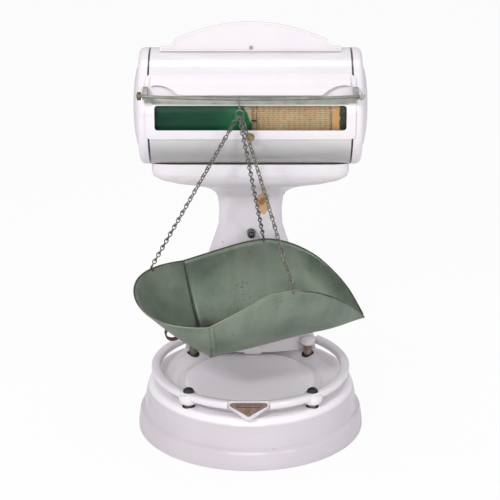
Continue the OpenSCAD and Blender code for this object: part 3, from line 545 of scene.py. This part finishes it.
strip_colour = mask.mix(band(mask, mottled_x, DARK_FROM, DARK_FULL), strip_colour, STRIP_DARK)
on_strip = mask.times(band(mask, mask_x, STRIP_FROM, STRIP_FROM + 0.0002),
                      band(mask, mask_z, STRIP_LOW, STRIP_LOW + 0.0005))
mask.over(on_strip, strip_colour)
print("mask's strip starts at x", STRIP_FROM)

# %% [markdown]
# Glass over the chart: clear to look through, with a mirror share that grows
# at grazing angles. Mixing a transparent and a glossy shader by a fresnel
# weight stays clean at few samples, where a true glass shader would leave the
# chart in the dark.

# %% Window glass
CLEAR_TINT, SHINE_TINT = (0.97, 0.98, 0.97, 1), (0.9, 0.92, 0.9, 1)
GLASS_SHINE = 1.14
glass_material = bpy.data.materials.new("window glass")
add, join = empty_tree(glass_material)
clear = add("ShaderNodeBsdfTransparent")
clear.inputs["Color"].default_value = CLEAR_TINT
shine = add("ShaderNodeBsdfGlossy")
shine.inputs["Roughness"].default_value = 0.05
shine.inputs["Color"].default_value = SHINE_TINT
edge_weight = add("ShaderNodeFresnel")
edge_weight.inputs["IOR"].default_value = GLASS_SHINE
blend(add, join, edge_weight.outputs[0], clear, shine, "ShaderNodeOutputMaterial")
print("glass ready")

# %% [markdown]
# Bare metals share one maker as well: a base colour, a tarnish colour laid
# over it by noise and in the corners, and a roughness that follows the
# tarnish. A post or a nut on the right may have another tint than its twin on
# the left, so the maker takes a second colour for x above 0.


# %% Bare and tarnished metals
def metal(name, bright, dull, rough, grain=40.0, share=0.6, metallic=1.0, right=None):
    """right is another bright tint for the pieces at x above 0."""
    coat = Finish(name, rough, metallic)
    if right:
        bright = coat.mix(band(coat, xyz(coat)[0], 0.0, 0.001), bright, right)
    tarnish = clouds(coat, grain, 5, 0.35, 0.7, 0.6)
    corners = coat.times(crevice(coat, 0.004), 0.5)
    coat.colour(coat.mix(coat.math("MAXIMUM", coat.times(tarnish, share), corners), bright, dull))
    coat.roughness(coat.math("MULTIPLY_ADD", tarnish, 0.2, rough))
    bump(coat, noise(coat, grain * 6, 3), 0.0002, 0.3)
    return coat.material


nickel = metal("worn nickel", (0.52, 0.53, 0.49), (0.24, 0.24, 0.20), 0.3)
rod_metal = metal("grey rod", (0.30, 0.31, 0.27), (0.13, 0.13, 0.10), 0.34)
brass = metal("old brass", (0.50, 0.35, 0.16), (0.13, 0.09, 0.05), 0.34)
nut_steel = metal("brown nut", (0.20, 0.16, 0.11), (0.08, 0.06, 0.04), 0.4, 90.0, 0.6, 0.5,
                  right=(0.80, 0.79, 0.78))
rail_metal = metal("plated rail", (0.36, 0.37, 0.33), (0.17, 0.17, 0.14), 0.3, 40.0, 0.6, 0.6)
steel = metal("dull steel", (0.42, 0.41, 0.40), (0.14, 0.12, 0.10), 0.38)
iron = metal("black iron", (0.05, 0.05, 0.052), (0.025, 0.022, 0.02), 0.55, metallic=0.4)
chain_wire = metal("chain wire", (0.25, 0.25, 0.22), (0.085, 0.075, 0.05), 0.42, 120.0, 0.75, 0.8)
strap_steel = metal("brown strap", (0.17, 0.10, 0.065), (0.05, 0.03, 0.02), 0.5, 90.0, 0.7, 0.5)
copper = metal("copper plate", (0.40, 0.29, 0.24), (0.15, 0.09, 0.07), 0.36, 150.0, 0.6, 0.6)
post_metal = metal("tarnished post", (0.22, 0.24, 0.15), (0.11, 0.12, 0.07), 0.35, 60.0, 0.7, 0.5,
                   right=(0.40, 0.28, 0.25))
drum_metal = metal("drum aluminium", (0.6, 0.6, 0.61), (0.35, 0.35, 0.36), 0.4)
print("metals ready")

# %% [markdown]
# Rubber, the black knob and the level's vial are small, but they catch the
# eye against the white. Rubber is matt with pale dust. The knob and the vial
# are polished, with a clear coat. A plain two-colour mix is enough for each.


# %% Rubber, knob and vial
def small_finish(name, rough, scale, detail, low, high, first, second, coat=0.0):
    finish = Finish(name, rough)
    finish.colour(finish.mix(clouds(finish, scale, detail, low, high), first, second))
    finish.set(coat_weight=coat)
    return finish.material


rubber = small_finish("black rubber", 0.55, 160.0, 4, 0.5, 0.8,
                      (0.012, 0.012, 0.016), (0.05, 0.05, 0.055))
knob = small_finish("black knob", 0.2, 90.0, 3, 0.5, 0.7,
                    (0.010, 0.010, 0.014), (0.03, 0.03, 0.035), 0.5)
vial = small_finish("amber vial", 0.12, 130.0, 3, 0.4, 0.7,
                    (0.22, 0.11, 0.085), (0.10, 0.05, 0.04), 0.8)
print("rubber, knob and vial ready")

# %% [markdown]
# Now each ready-made piece gets its finish. White enamel is the rule, so only
# the exceptions are listed, by finish.

# %% Dress the frame
DRESS = (
    (base_finish.material, "base_casting"),
    (column_finish.material, "column_casting"),
    (barrel_finish.material, "barrel_cover"),
    (glass_material, "window_glass"),
    (mask.material, "price_mask"),
    (chart.material, "chart_sheet"),
    (drum_metal, "chart_drum"),
    (rail_metal, "window_rail"),
    (rod_metal, "hanger_rod"),
    (nut_steel, "rod_nuts"),
    (nickel, "zero_bushing", "dashpot_cup"),
    (brass, "bezel_thumb_nut", "pinion", "rack", "dashpot_piston", "level_screw"),
    (iron, "index_pointer", "drum_spiders", "main_lever", "fulcrum_stands", "platform_cradle"),
    (steel, "drum_shaft", "left_bearing_bracket", "right_bearing_bracket", "draw_rod",
     "front_weighing_spring", "rear_weighing_spring", "lever_pins", "column_bolts", "crest_screw",
     "front_left_foot", "front_right_foot", "rear_left_foot", "rear_right_foot"),
    (post_metal, "platform_posts"),
    (rubber, "rubber_bumpers", "post_grommets"),
    (copper, "level_plate"),
    (vial, "level_vial"),
    (knob, "zero_knob"),
    (chain_wire, "chain_hook", "left_chain", "far_chain", "near_chain"),
    (tin.material, "scoop_pan", "scoop_end_panel"),
    (strap_steel, "scoop_handle"),
)
finishes = {node: finish for finish, *nodes in DRESS for node in nodes}
for node_name, piece in node_objects.items():
    piece.data.materials.clear()
    piece.data.materials.append(finishes.get(node_name, enamel_finish.material))
print("dressed", len(node_objects), "nodes")

# %% [markdown]
# The column is a lofted casting, and its facets would show in the gloss. It is
# shaded smooth, its points are welded so that the shading can cross from face
# to face, and it is split again at its sharp edges. Modifiers do this and
# leave the mesh itself alone.

# %% Smooth shading for the column
WELD_DISTANCE = 0.00002
COLUMN_SHARP = 32


def split_sharp(piece, degrees):
    split = piece.modifiers.new("sharp edges", "EDGE_SPLIT")
    split.split_angle = math.radians(degrees)


column = node_objects["column_casting"]
if "custom_normal" in column.data.attributes:
    column.data.attributes.remove(column.data.attributes["custom_normal"])
column.data.polygons.foreach_set("use_smooth", [True] * len(column.data.polygons))
weld = column.modifiers.new("weld", "WELD")
weld.merge_threshold = WELD_DISTANCE
split_sharp(column, COLUMN_SHARP)
print("column shaded smooth")

# %% [markdown]
# The scoop is half a barrel of tin, cut back to a pointed lip, with a flared
# closed end. It hangs lip up, turned a little on its hook. A sheet like this
# is easiest to build as a loft: cross-sections are set out along the length,
# and each is an arc from the near rim, under the floor, to the far rim. The
# rims were bent with use, so each side has heights of its own.

# %% Scoop: its place and its outlines
SCOOP_AT = Vector((-0.01735, -0.0472, 0.28614))
SCOOP_TURN, SCOOP_ROLL, SCOOP_TILT = (math.radians(angle) for angle in (12.5, 3.5, -10.2))
scoop_place = (Matrix.Translation(SCOOP_AT) @ Matrix.Rotation(SCOOP_TURN, 4, "Z")
               @ Matrix.Rotation(SCOOP_ROLL, 4, "X") @ Matrix.Rotation(SCOOP_TILT, 4, "Y"))
SEAM_U, HOLE_U, TAPER_U, LIP_U = -78.0, 66.0, 110.0, 200.5
STATIONS = (-78, -45, -10, 30, 66, 90, 110, 130, 150, 170, 185, LIP_U)
LIP_DEPTH = 131.6
FAR_RIM = (2.4, 5.2, 8.2, 10.4, 8.3, 0.4, -10.2, -22.7, -37.0, -59.2, -83.7, -LIP_DEPTH)
NEAR_RIM = (-19.9, -10.9, -1.6, 9.1, 7.1, -0.8, -9.7, -24.9, -47.7, -77.7, -103.6, -LIP_DEPTH)
DEPTHS = ((-78, -10, 80, LIP_U), (118.2, 120.4, 120.4, LIP_DEPTH))
SEAM_HALF, HOLE_HALF, TAPER_SHARE = 111.1, 107.6, 0.91
print("scoop tilts lip up by %.1f degrees" % -math.degrees(SCOOP_TILT))

# %% [markdown]
# A smooth curve runs through each row of heights. Its slope at a point is the
# harmonic mean of the two runs beside it, and level where the run turns, so
# the rim doesn't overshoot as a plain spline would.


# %% Scoop: curves through the outlines
def through(xs, ys, x):
    """A smooth curve through points, with level ends where the run turns."""
    slopes = [0.0] * len(xs)
    steps = [(ys[k + 1] - ys[k]) / (xs[k + 1] - xs[k]) for k in range(len(xs) - 1)]
    slopes[0], slopes[-1] = steps[0], steps[-1]
    for k in range(1, len(xs) - 1):
        if steps[k - 1] * steps[k] > 0:
            slopes[k] = 2 * steps[k - 1] * steps[k] / (steps[k - 1] + steps[k])
    k = max(0, min(len(xs) - 2, sum(1 for value in xs[1:-1] if value <= x)))
    span = xs[k + 1] - xs[k]
    t = (x - xs[k]) / span
    return (ys[k] * (2 * t**3 - 3 * t**2 + 1) + ys[k + 1] * (3 * t**2 - 2 * t**3)
            + span * (slopes[k] * (t**3 - 2 * t**2 + t) + slopes[k + 1] * (t**3 - t**2)))


def scoop_half_width(u):
    if u < HOLE_U:
        return SEAM_HALF - (SEAM_HALF - HOLE_HALF) * (u - SEAM_U) / (HOLE_U - SEAM_U)
    return HOLE_HALF * (1 - TAPER_SHARE * max(0.0, (u - TAPER_U) / (LIP_U - TAPER_U)) ** 2)


def scoop_point(u, side):
    """side runs from -1, the near rim, over 0, the floor, to 1, the far rim."""
    rim = through(STATIONS, FAR_RIM if side > 0 else NEAR_RIM, u)
    depth = through(*DEPTHS, u)
    turn = math.acos(max(0.0, min(1.0, -rim / depth))) * abs(side)
    across = math.copysign(scoop_half_width(u) * math.sin(turn), side)
    return Vector((u, across, -depth * math.cos(turn) + max(rim, 0.0) * side**4))


print("widest half section %.1f mm" % scoop_half_width(SEAM_U))

# %% [markdown]
# The closed end is a second sheet that flares out from the seam to a rim of
# its own. The rim is half an oval seen from above, a little wider than a true
# one and bent to the two sides' heights. The sheet bulges between the two.

# %% Scoop: the flared end
END_REACH = 100.3
END_FULLER = 0.25
END_RISE, END_LEAN, END_DIP = 17.4, 4.6, 0.9
END_BULGE = 5.0


def end_rim(side):
    angle = side * math.pi / 2
    ahead, across = math.cos(angle), math.sin(angle)
    middle, lean = (FAR_RIM[0] + NEAR_RIM[0]) / 2, (FAR_RIM[0] - NEAR_RIM[0]) / 2
    rise = ahead * (END_RISE - END_LEAN * across - END_DIP * ahead)
    return Vector((SEAM_U - END_REACH * ahead, SEAM_HALF * across * (1 + END_FULLER * ahead**2),
                   middle + lean * across + rise))


def end_point(side, out):
    """out runs from 0 at the seam to 1 at the flared rim."""
    point = scoop_point(SEAM_U, side).lerp(end_rim(side), out)
    bulge = END_BULGE * math.sin(math.pi * out) * math.cos(side * math.pi / 2)
    return point - Vector((0.7, 0, 0.7)) * bulge


print("end reaches %.0f mm past the seam" % END_REACH)

# %% [markdown]
# A drawn piece needs a mesh, a finish and a body to ride on. One function does
# all three. A tube follows a line of points with a small ring of faces and
# carries its ring's direction along, so that it doesn't twist.


# %% Helpers that draw a piece
def new_piece(name, points, faces, material, slot, body):
    mesh = bpy.data.meshes.new(name)
    mesh.from_pydata([tuple(point) for point in points], [], faces)
    mesh.validate()
    mesh.polygons.foreach_set("use_smooth", [True] * len(mesh.polygons))
    mesh.materials.append(material)
    piece = bpy.data.objects.new(name, mesh)
    bpy.context.scene.collection.objects.link(piece)
    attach(piece, body)
    return piece


def band_faces(start, width, rows, closed):
    """Faces between rows of points, each row going round if closed."""
    faces = []
    for row in range(rows - 1):
        for step in range(width if closed else width - 1):
            a, b = start + row * width + step, start + row * width + (step + 1) % width
            faces.append((a, b, b + width, a + width))
    return faces


def tube(name, points, radius, material, slot, body, ring=8):
    """A round wire along points in metres."""
    verts = []
    normal = Vector((0, 0, 1))
    for k, point in enumerate(points):
        direction = (points[min(k + 1, len(points) - 1)] - points[max(k - 1, 0)]).normalized()
        normal = (normal - direction * normal.dot(direction)).normalized()
        second = direction.cross(normal)
        for step in range(ring):
            angle = 2 * math.pi * step / ring
            verts.append(point + (normal * math.cos(angle) + second * math.sin(angle)) * radius)
    faces = band_faces(0, ring, len(points), True)
    faces += [tuple(range(ring - 1, -1, -1)), tuple(range(len(verts) - ring, len(verts)))]
    return new_piece(name, verts, faces, material, slot, body)


print("drawing helpers ready")

# %% [markdown]
# The loft becomes a grid of faces. A Solidify modifier then gives the sheet its
# thickness, which keeps the grid simple and the wall even. Rows stand closer
# near the lip, where the rim drops fastest.

# %% Scoop: the two sheets
SIDE_STEPS = 48
END_STEPS = 16
SHEET = 0.0012
LIP_STOP = LIP_U - 1.5
LIP_CROWDING = 0.85
sides = [2 * k / SIDE_STEPS - 1 for k in range(SIDE_STEPS + 1)]
lengths = [SEAM_U + (HOLE_U - SEAM_U) * k / 20 for k in range(20)]
lengths += [HOLE_U + (LIP_STOP - HOLE_U) * (k / 40) ** LIP_CROWDING for k in range(41)]


def on_scoop(points):
    return [scoop_place @ (point * MM) for point in points]


def grid_piece(name, rows):
    """A sheet over rows of scoop points, given in millimetres."""
    points = on_scoop([point for row in rows for point in row])
    sheet = new_piece(name, points, band_faces(0, len(rows[0]), len(rows), False),
                      tin.material, "tinplate", "scoop")
    thick = sheet.modifiers.new("sheet thickness", "SOLIDIFY")
    thick.thickness = SHEET
    thick.offset = 0.0
    return sheet


pan = grid_piece("scoop_sheet", [[scoop_point(u, side) for side in sides] for u in lengths])
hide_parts("scoop_pan")
end = grid_piece("scoop_flared_end", [[end_point(side, out / END_STEPS) for side in sides]
                                      for out in range(END_STEPS + 1)])
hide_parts("scoop_end_panel")
print("scoop sheet:", len(pan.data.polygons), "faces; end:", len(end.data.polygons))

# %% [markdown]
# The tinsmith rolls a sheet's edge over a wire, which stiffens it and gives
# the rim its dark line from a distance. At the seam the two sheets are folded
# together, with a narrow flange lapped over the outside.

# %% Scoop: rolled rim and seam
RIM_WIRE, FOLD_WIRE = 1.25, 1.3
FOLD_PAST, FOLD_UP = 1.2, 0.8
FLANGE, FLANGE_BACK, FLANGE_OFF = 7.5, 1.5, 1.1
rim_line = [scoop_point(u, -1) for u in reversed(lengths)]
rim_line += [end_rim(side) for side in sides[1:-1]]
rim_line += [scoop_point(u, 1) for u in lengths]
tube("scoop_rim_wire", on_scoop(rim_line), RIM_WIRE * MM, rim_tin.material, "tinplate", "scoop")
seam_line = [scoop_point(SEAM_U + FOLD_PAST, side) + Vector((0, 0, FOLD_UP)) for side in sides]
tube("scoop_seam_fold", on_scoop(seam_line), FOLD_WIRE * MM, rim_tin.material, "tinplate", "scoop")


def pushed_out(u, side, by):
    point = scoop_point(u, side)
    return point + Vector((0, point.y, point.z * 0.9)).normalized() * by


flange = grid_piece("scoop_seam_flange", [
    [pushed_out(SEAM_U - FLANGE_BACK + FLANGE * k / 3, side * 0.995, FLANGE_OFF) for side in sides]
    for k in range(4)])
print("seam flange:", len(flange.data.polygons), "faces")

# %% [markdown]
# Under the closed end sits a bent iron strap, the loop that the scoop hangs or
# stands by. It is a half ring of flat bar, with its feet on the flared sheet.
# Four points go round the bar at each step of the bend.

# %% Scoop: strap under the closed end
STRAP_OUT, STRAP_SIDE = 0.50, -0.12
STRAP_R, STRAP_WIDE, STRAP_THICK = 13.5, 10.0, 2.4
STRAP_STEPS, STRAP_SHARP = 24, 40
seat = end_point(STRAP_SIDE, STRAP_OUT)
sheet_run = end_point(STRAP_SIDE, STRAP_OUT + 0.1) - end_point(STRAP_SIDE, STRAP_OUT - 0.1)
along_sheet = sheet_run.normalized()
cross_sheet = Vector((0, 1, 0))
off_sheet = along_sheet.cross(cross_sheet).normalized()
if off_sheet.z > 0:
    off_sheet = -off_sheet
BAR_CORNERS = ((STRAP_R - STRAP_THICK, -0.5), (STRAP_R - STRAP_THICK, 0.5),
               (STRAP_R, 0.5), (STRAP_R, -0.5))
strap_points = []
for k in range(STRAP_STEPS + 1):
    angle = math.pi * k / STRAP_STEPS
    for radius, half in BAR_CORNERS:
        bent = along_sheet * radius * math.cos(angle) + off_sheet * radius * math.sin(angle)
        strap_points.append(seat + bent + cross_sheet * STRAP_WIDE * half)
strap_faces = band_faces(0, 4, STRAP_STEPS + 1, True)
strap_faces += [(0, 3, 2, 1), tuple(4 * STRAP_STEPS + k for k in range(4))]
strap = new_piece("scoop_strap", on_scoop(strap_points), strap_faces,
                  strap_steel, "dark_strap", "scoop")
split_sharp(strap, STRAP_SHARP)
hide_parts("scoop_handle")
print("strap:", len(strap_faces), "faces")

# %% [markdown]
# The chains are jack chain: each link is one wire bent into two eyes, with the
# second eye turned square to the first, so that each eye holds the next link
# flat. A link is drawn as two ovals and set along the line from the hook's eye
# to the scoop's hole, with a slow twist, as hanging chain has.

# %% Chains: one link
EYE_LONG, EYE_WIDE, LINK_WIRE = 4.25, 3.15, 0.95
LINK_PITCH = 15.4
HOOK_WIRE, HOOK_EYE = 1.3, 6.5
HOOK_Y = -0.0441
hook_low, hook_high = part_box("chain_hook")
HOOK_MIDDLE = Vector(((hook_low.x + hook_high.x) / 2, HOOK_Y,
                      hook_low.z + (HOOK_WIRE + HOOK_EYE) * MM))


def oval(centre, long_way, wide_way, long_r, wide_r, wire, verts, faces, turns=18, ring=8):
    start = len(verts)
    flat = long_way.cross(wide_way)
    for k in range(turns):
        angle = 2 * math.pi * k / turns
        along, beyond = math.cos(angle), math.sin(angle)
        point = centre + long_way * long_r * along + wide_way * wide_r * beyond
        out = (long_way * along / long_r + wide_way * beyond / wide_r).normalized()
        for step in range(ring):
            turn = 2 * math.pi * step / ring
            verts.append(point + (out * math.cos(turn) + flat * math.sin(turn)) * wire)
    for k in range(turns):
        for step in range(ring):
            after, beside = (k + 1) % turns, (step + 1) % ring
            faces.append((start + k * ring + step, start + after * ring + step,
                          start + after * ring + beside, start + k * ring + beside))


print("hook's eye at z %.3f" % HOOK_MIDDLE.z)

# %% [markdown]
# The number of links follows from the length of the run and the pitch, and the
# pitch then gives way a little so that the last eye ends at its hole. A round
# ring through the sheet joins each chain to the scoop.

# %% Chains: three runs
END_RING = 4.4
RING_UP = END_RING - 1.6
UP = Vector((0, 0, 1))


def chain(name, replaced, hook_shift, hole, face_way, spin_top, spin_low):
    """Links from the hook's eye to a ring through a hole, all in metres."""
    top = HOOK_MIDDLE + Vector((hook_shift, 0, -math.sqrt((HOOK_EYE * MM) ** 2 - hook_shift**2)))
    ring_at = hole + UP * RING_UP * MM
    low = ring_at + UP * END_RING * MM
    way = (low - top).normalized()
    run = (low - top).length
    eye_reach = (EYE_LONG - LINK_WIRE) * MM
    first, last = 2 * eye_reach, run - 2 * eye_reach
    count = round((last - first) / (LINK_PITCH * MM)) + 1
    pitch = (last - first) / (count - 1)
    long_r = pitch / 4 + LINK_WIRE * MM
    aside = way.cross(Vector((0, 1, 0))).normalized()
    front = way.cross(aside)
    verts, faces = [], []
    for k in range(count):
        spin = math.radians(spin_top + (spin_low - spin_top) * k / (count - 1))
        one = aside * math.cos(spin) + front * math.sin(spin)
        middle = top + way * (first + pitch * k)
        for shift, wide in ((-1, one), (1, way.cross(one))):
            oval(middle + way * shift * long_r, way, wide, long_r, EYE_WIDE * MM,
                 LINK_WIRE * MM, verts, faces)
    oval(ring_at, UP, face_way.normalized(), END_RING * MM, END_RING * MM,
         LINK_WIRE * MM, verts, faces, 24)
    links = new_piece(name, verts, faces, chain_wire, "chain_steel", "scoop")
    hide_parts(replaced)
    print(name, count, "links, pitch %.1f mm" % (pitch / MM))


HOLE_DROP = Vector((0, 0, -3.0))
END_HOLE_SIDE = 0.62
EYE_SPREAD = 0.0038
left_hole, far_hole, near_hole = on_scoop(
    [rim_point + HOLE_DROP
     for rim_point in (end_rim(END_HOLE_SIDE), scoop_point(HOLE_U, 1), scoop_point(HOLE_U, -1))])
inward = Vector((0.2, -1, 0))
chain("left_link_chain", "left_chain", -EYE_SPREAD, left_hole, Vector((0.5, -0.85, 0)), 70, 15)
chain("far_link_chain", "far_chain", 0.0, far_hole, inward, -15, -27)
chain("near_link_chain", "near_chain", EYE_SPREAD, near_hole, inward, 39, 27)

# %% [markdown]
# Seen close up, the platform ring is a flat open band with a round boss over
# each post, so it is drawn again here. Bosses and bumpers are round, so a
# turned profile makes them: a short outline of radius and height, in
# millimetres, goes round an upright axis.

# %% Platform ring: turned bosses and bumpers
POST_X, POST_FRONT_Y, POST_REAR_Y = 103, -122, 101
front_posts = [(-POST_X, POST_FRONT_Y), (POST_X, POST_FRONT_Y)]
rear_posts = [(-POST_X, POST_REAR_Y), (POST_X, POST_REAR_Y)]
ARM_X, ARM_Y = 110, 107
FRONT_BOSS = ((8, 90.2), (12, 91.2), (15.4, 94), (17, 99), (17, 104), (15, 108),
              (11.5, 109.6), (9.2, 109.8))
REAR_BOSS = ((8, 102), (11, 102.5), (13, 104.5), (13.4, 108), (12, 111.5), (8, 113.4), (2, 114))
ARM = ((7, 101), (8, 103), (8, 109), (7, 111))
DOME = ((4, 106), (9.4, 107), (9.8, 110.5), (9.4, 113), (7.6, 116), (4.8, 118), (1.5, 118.8))


def capped(points, width):
    """Points in rows that go round, with faces between them and at both ends."""
    faces = band_faces(0, width, len(points) // width, True)
    faces += [tuple(range(width - 1, -1, -1)), tuple(range(len(points) - width, len(points)))]
    return points, faces


def turned(centre, profile, steps=40):
    """A solid turned round an upright axis, from its lowest to its highest point."""
    points = []
    for radius, height in profile:
        for step in range(steps):
            angle = 2 * math.pi * step / steps
            points.append(Vector((centre[0] + radius * math.cos(angle),
                                  centre[1] + radius * math.sin(angle), height)) * MM)
    return capped(points, steps)


bosses = [turned(post, FRONT_BOSS) for post in front_posts]
bosses += [turned(post, REAR_BOSS) for post in rear_posts]
arms = [turned((side * ARM_X, ARM_Y), ARM) for side in (-1, 1)]
print("turned solids:", len(bosses) + len(arms))

# %% [markdown]
# The band is the same small section carried round an arc. It stops on both
# sides of the column, and its outer edge is cut flat in front, where the
# level's pocket sits.

# %% Platform ring: the band
RING_SECTION = ((155.8, 103), (155.8, 109.5), (158, 112), (169, 112), (171.3, 109.5), (171.3, 103),
                (169, 100.2), (158, 100.2))
RING_FROM, RING_TO, RING_STEPS = 136, 404, 268
LEVEL_X = -3
FLAT_HALF, FLAT_Y = 33, -160.4


def swept_ring(first, last, steps):
    points = []
    for step in range(steps + 1):
        angle = math.radians(first + (last - first) * step / steps)
        for radius, height in RING_SECTION:
            x, y = radius * math.cos(angle), radius * math.sin(angle)
            if abs(x - LEVEL_X) < FLAT_HALF:
                y = max(y, FLAT_Y)
            points.append(Vector((x, y, height)) * MM)
    return capped(points, len(RING_SECTION))


ring_band = swept_ring(RING_FROM, RING_TO, RING_STEPS)
print("ring band:", len(ring_band[1]), "faces")

# %% [markdown]
# The level sits in a rounded triangular frame that leans forward under the
# band. Its outline is three arcs. It is set out at several heights, first for
# the outside and then for the pocket, and the rows are joined like the others.

# %% Platform ring: the level's frame
level_place = Matrix.Translation((LEVEL_X, -173, 102.5)) @ Matrix.Rotation(math.radians(30), 4, "X")


def triangle(half, height, radius, grow=1.0, steps=10):
    corners = ((half - radius, height / 2 - radius, -30), (radius - half, height / 2 - radius, 90),
               (0, radius - height / 2, 210))
    outline = []
    for x, y, start in corners:
        for step in range(steps + 1):
            angle = math.radians(start + 120 * step / steps)
            outline.append(((x + radius * math.cos(angle)) * grow,
                            (y + radius * math.sin(angle)) * grow))
    return outline


OUTSIDE, POCKET = (34, 35, 7), (31.4, 27.8, 5)
LEVELS = ((OUTSIDE, 0.94, -8.6), (OUTSIDE, 1.0, -7), (OUTSIDE, 1.0, -0.8), (OUTSIDE, 0.985, 0.4),
          (POCKET, 1.0, 0.4), (POCKET, 1.0, -2.0))
frame_points = [(level_place @ Vector((x, y, height))) * MM
                for outline, grow, height in LEVELS for x, y in triangle(*outline, grow)]
level_frame = capped(frame_points, len(triangle(*OUTSIDE)))
print("level frame:", len(level_frame[1]), "faces")

# %% [markdown]
# The ring's parts are cast as one, so their points and faces are joined into
# one mesh, and it replaces the plainer ring of the frame. The two bumpers do
# the same for the rubber. The rear bosses carry no rubber.

# %% Platform ring: the finished pieces
RING_SHARP = 50


def joined(*solids):
    points, faces = [], []
    for more_points, more_faces in solids:
        start = len(points)
        points += more_points
        faces += [tuple(start + corner for corner in face) for face in more_faces]
    return points, faces


ring_casting = new_piece("ring_band_and_bosses", *joined(ring_band, level_frame, *bosses, *arms),
                         enamel_finish.material, "enamel", "platform")
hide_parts("platform_ring")
domes = new_piece("bumper_domes", *joined(*(turned(post, DOME) for post in front_posts)),
                  rubber, "rubber", "platform")
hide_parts("rubber_bumpers")
for piece in (ring_casting, domes):
    split_sharp(piece, RING_SHARP)
print("platform ring drawn with", len(ring_casting.data.polygons), "faces")
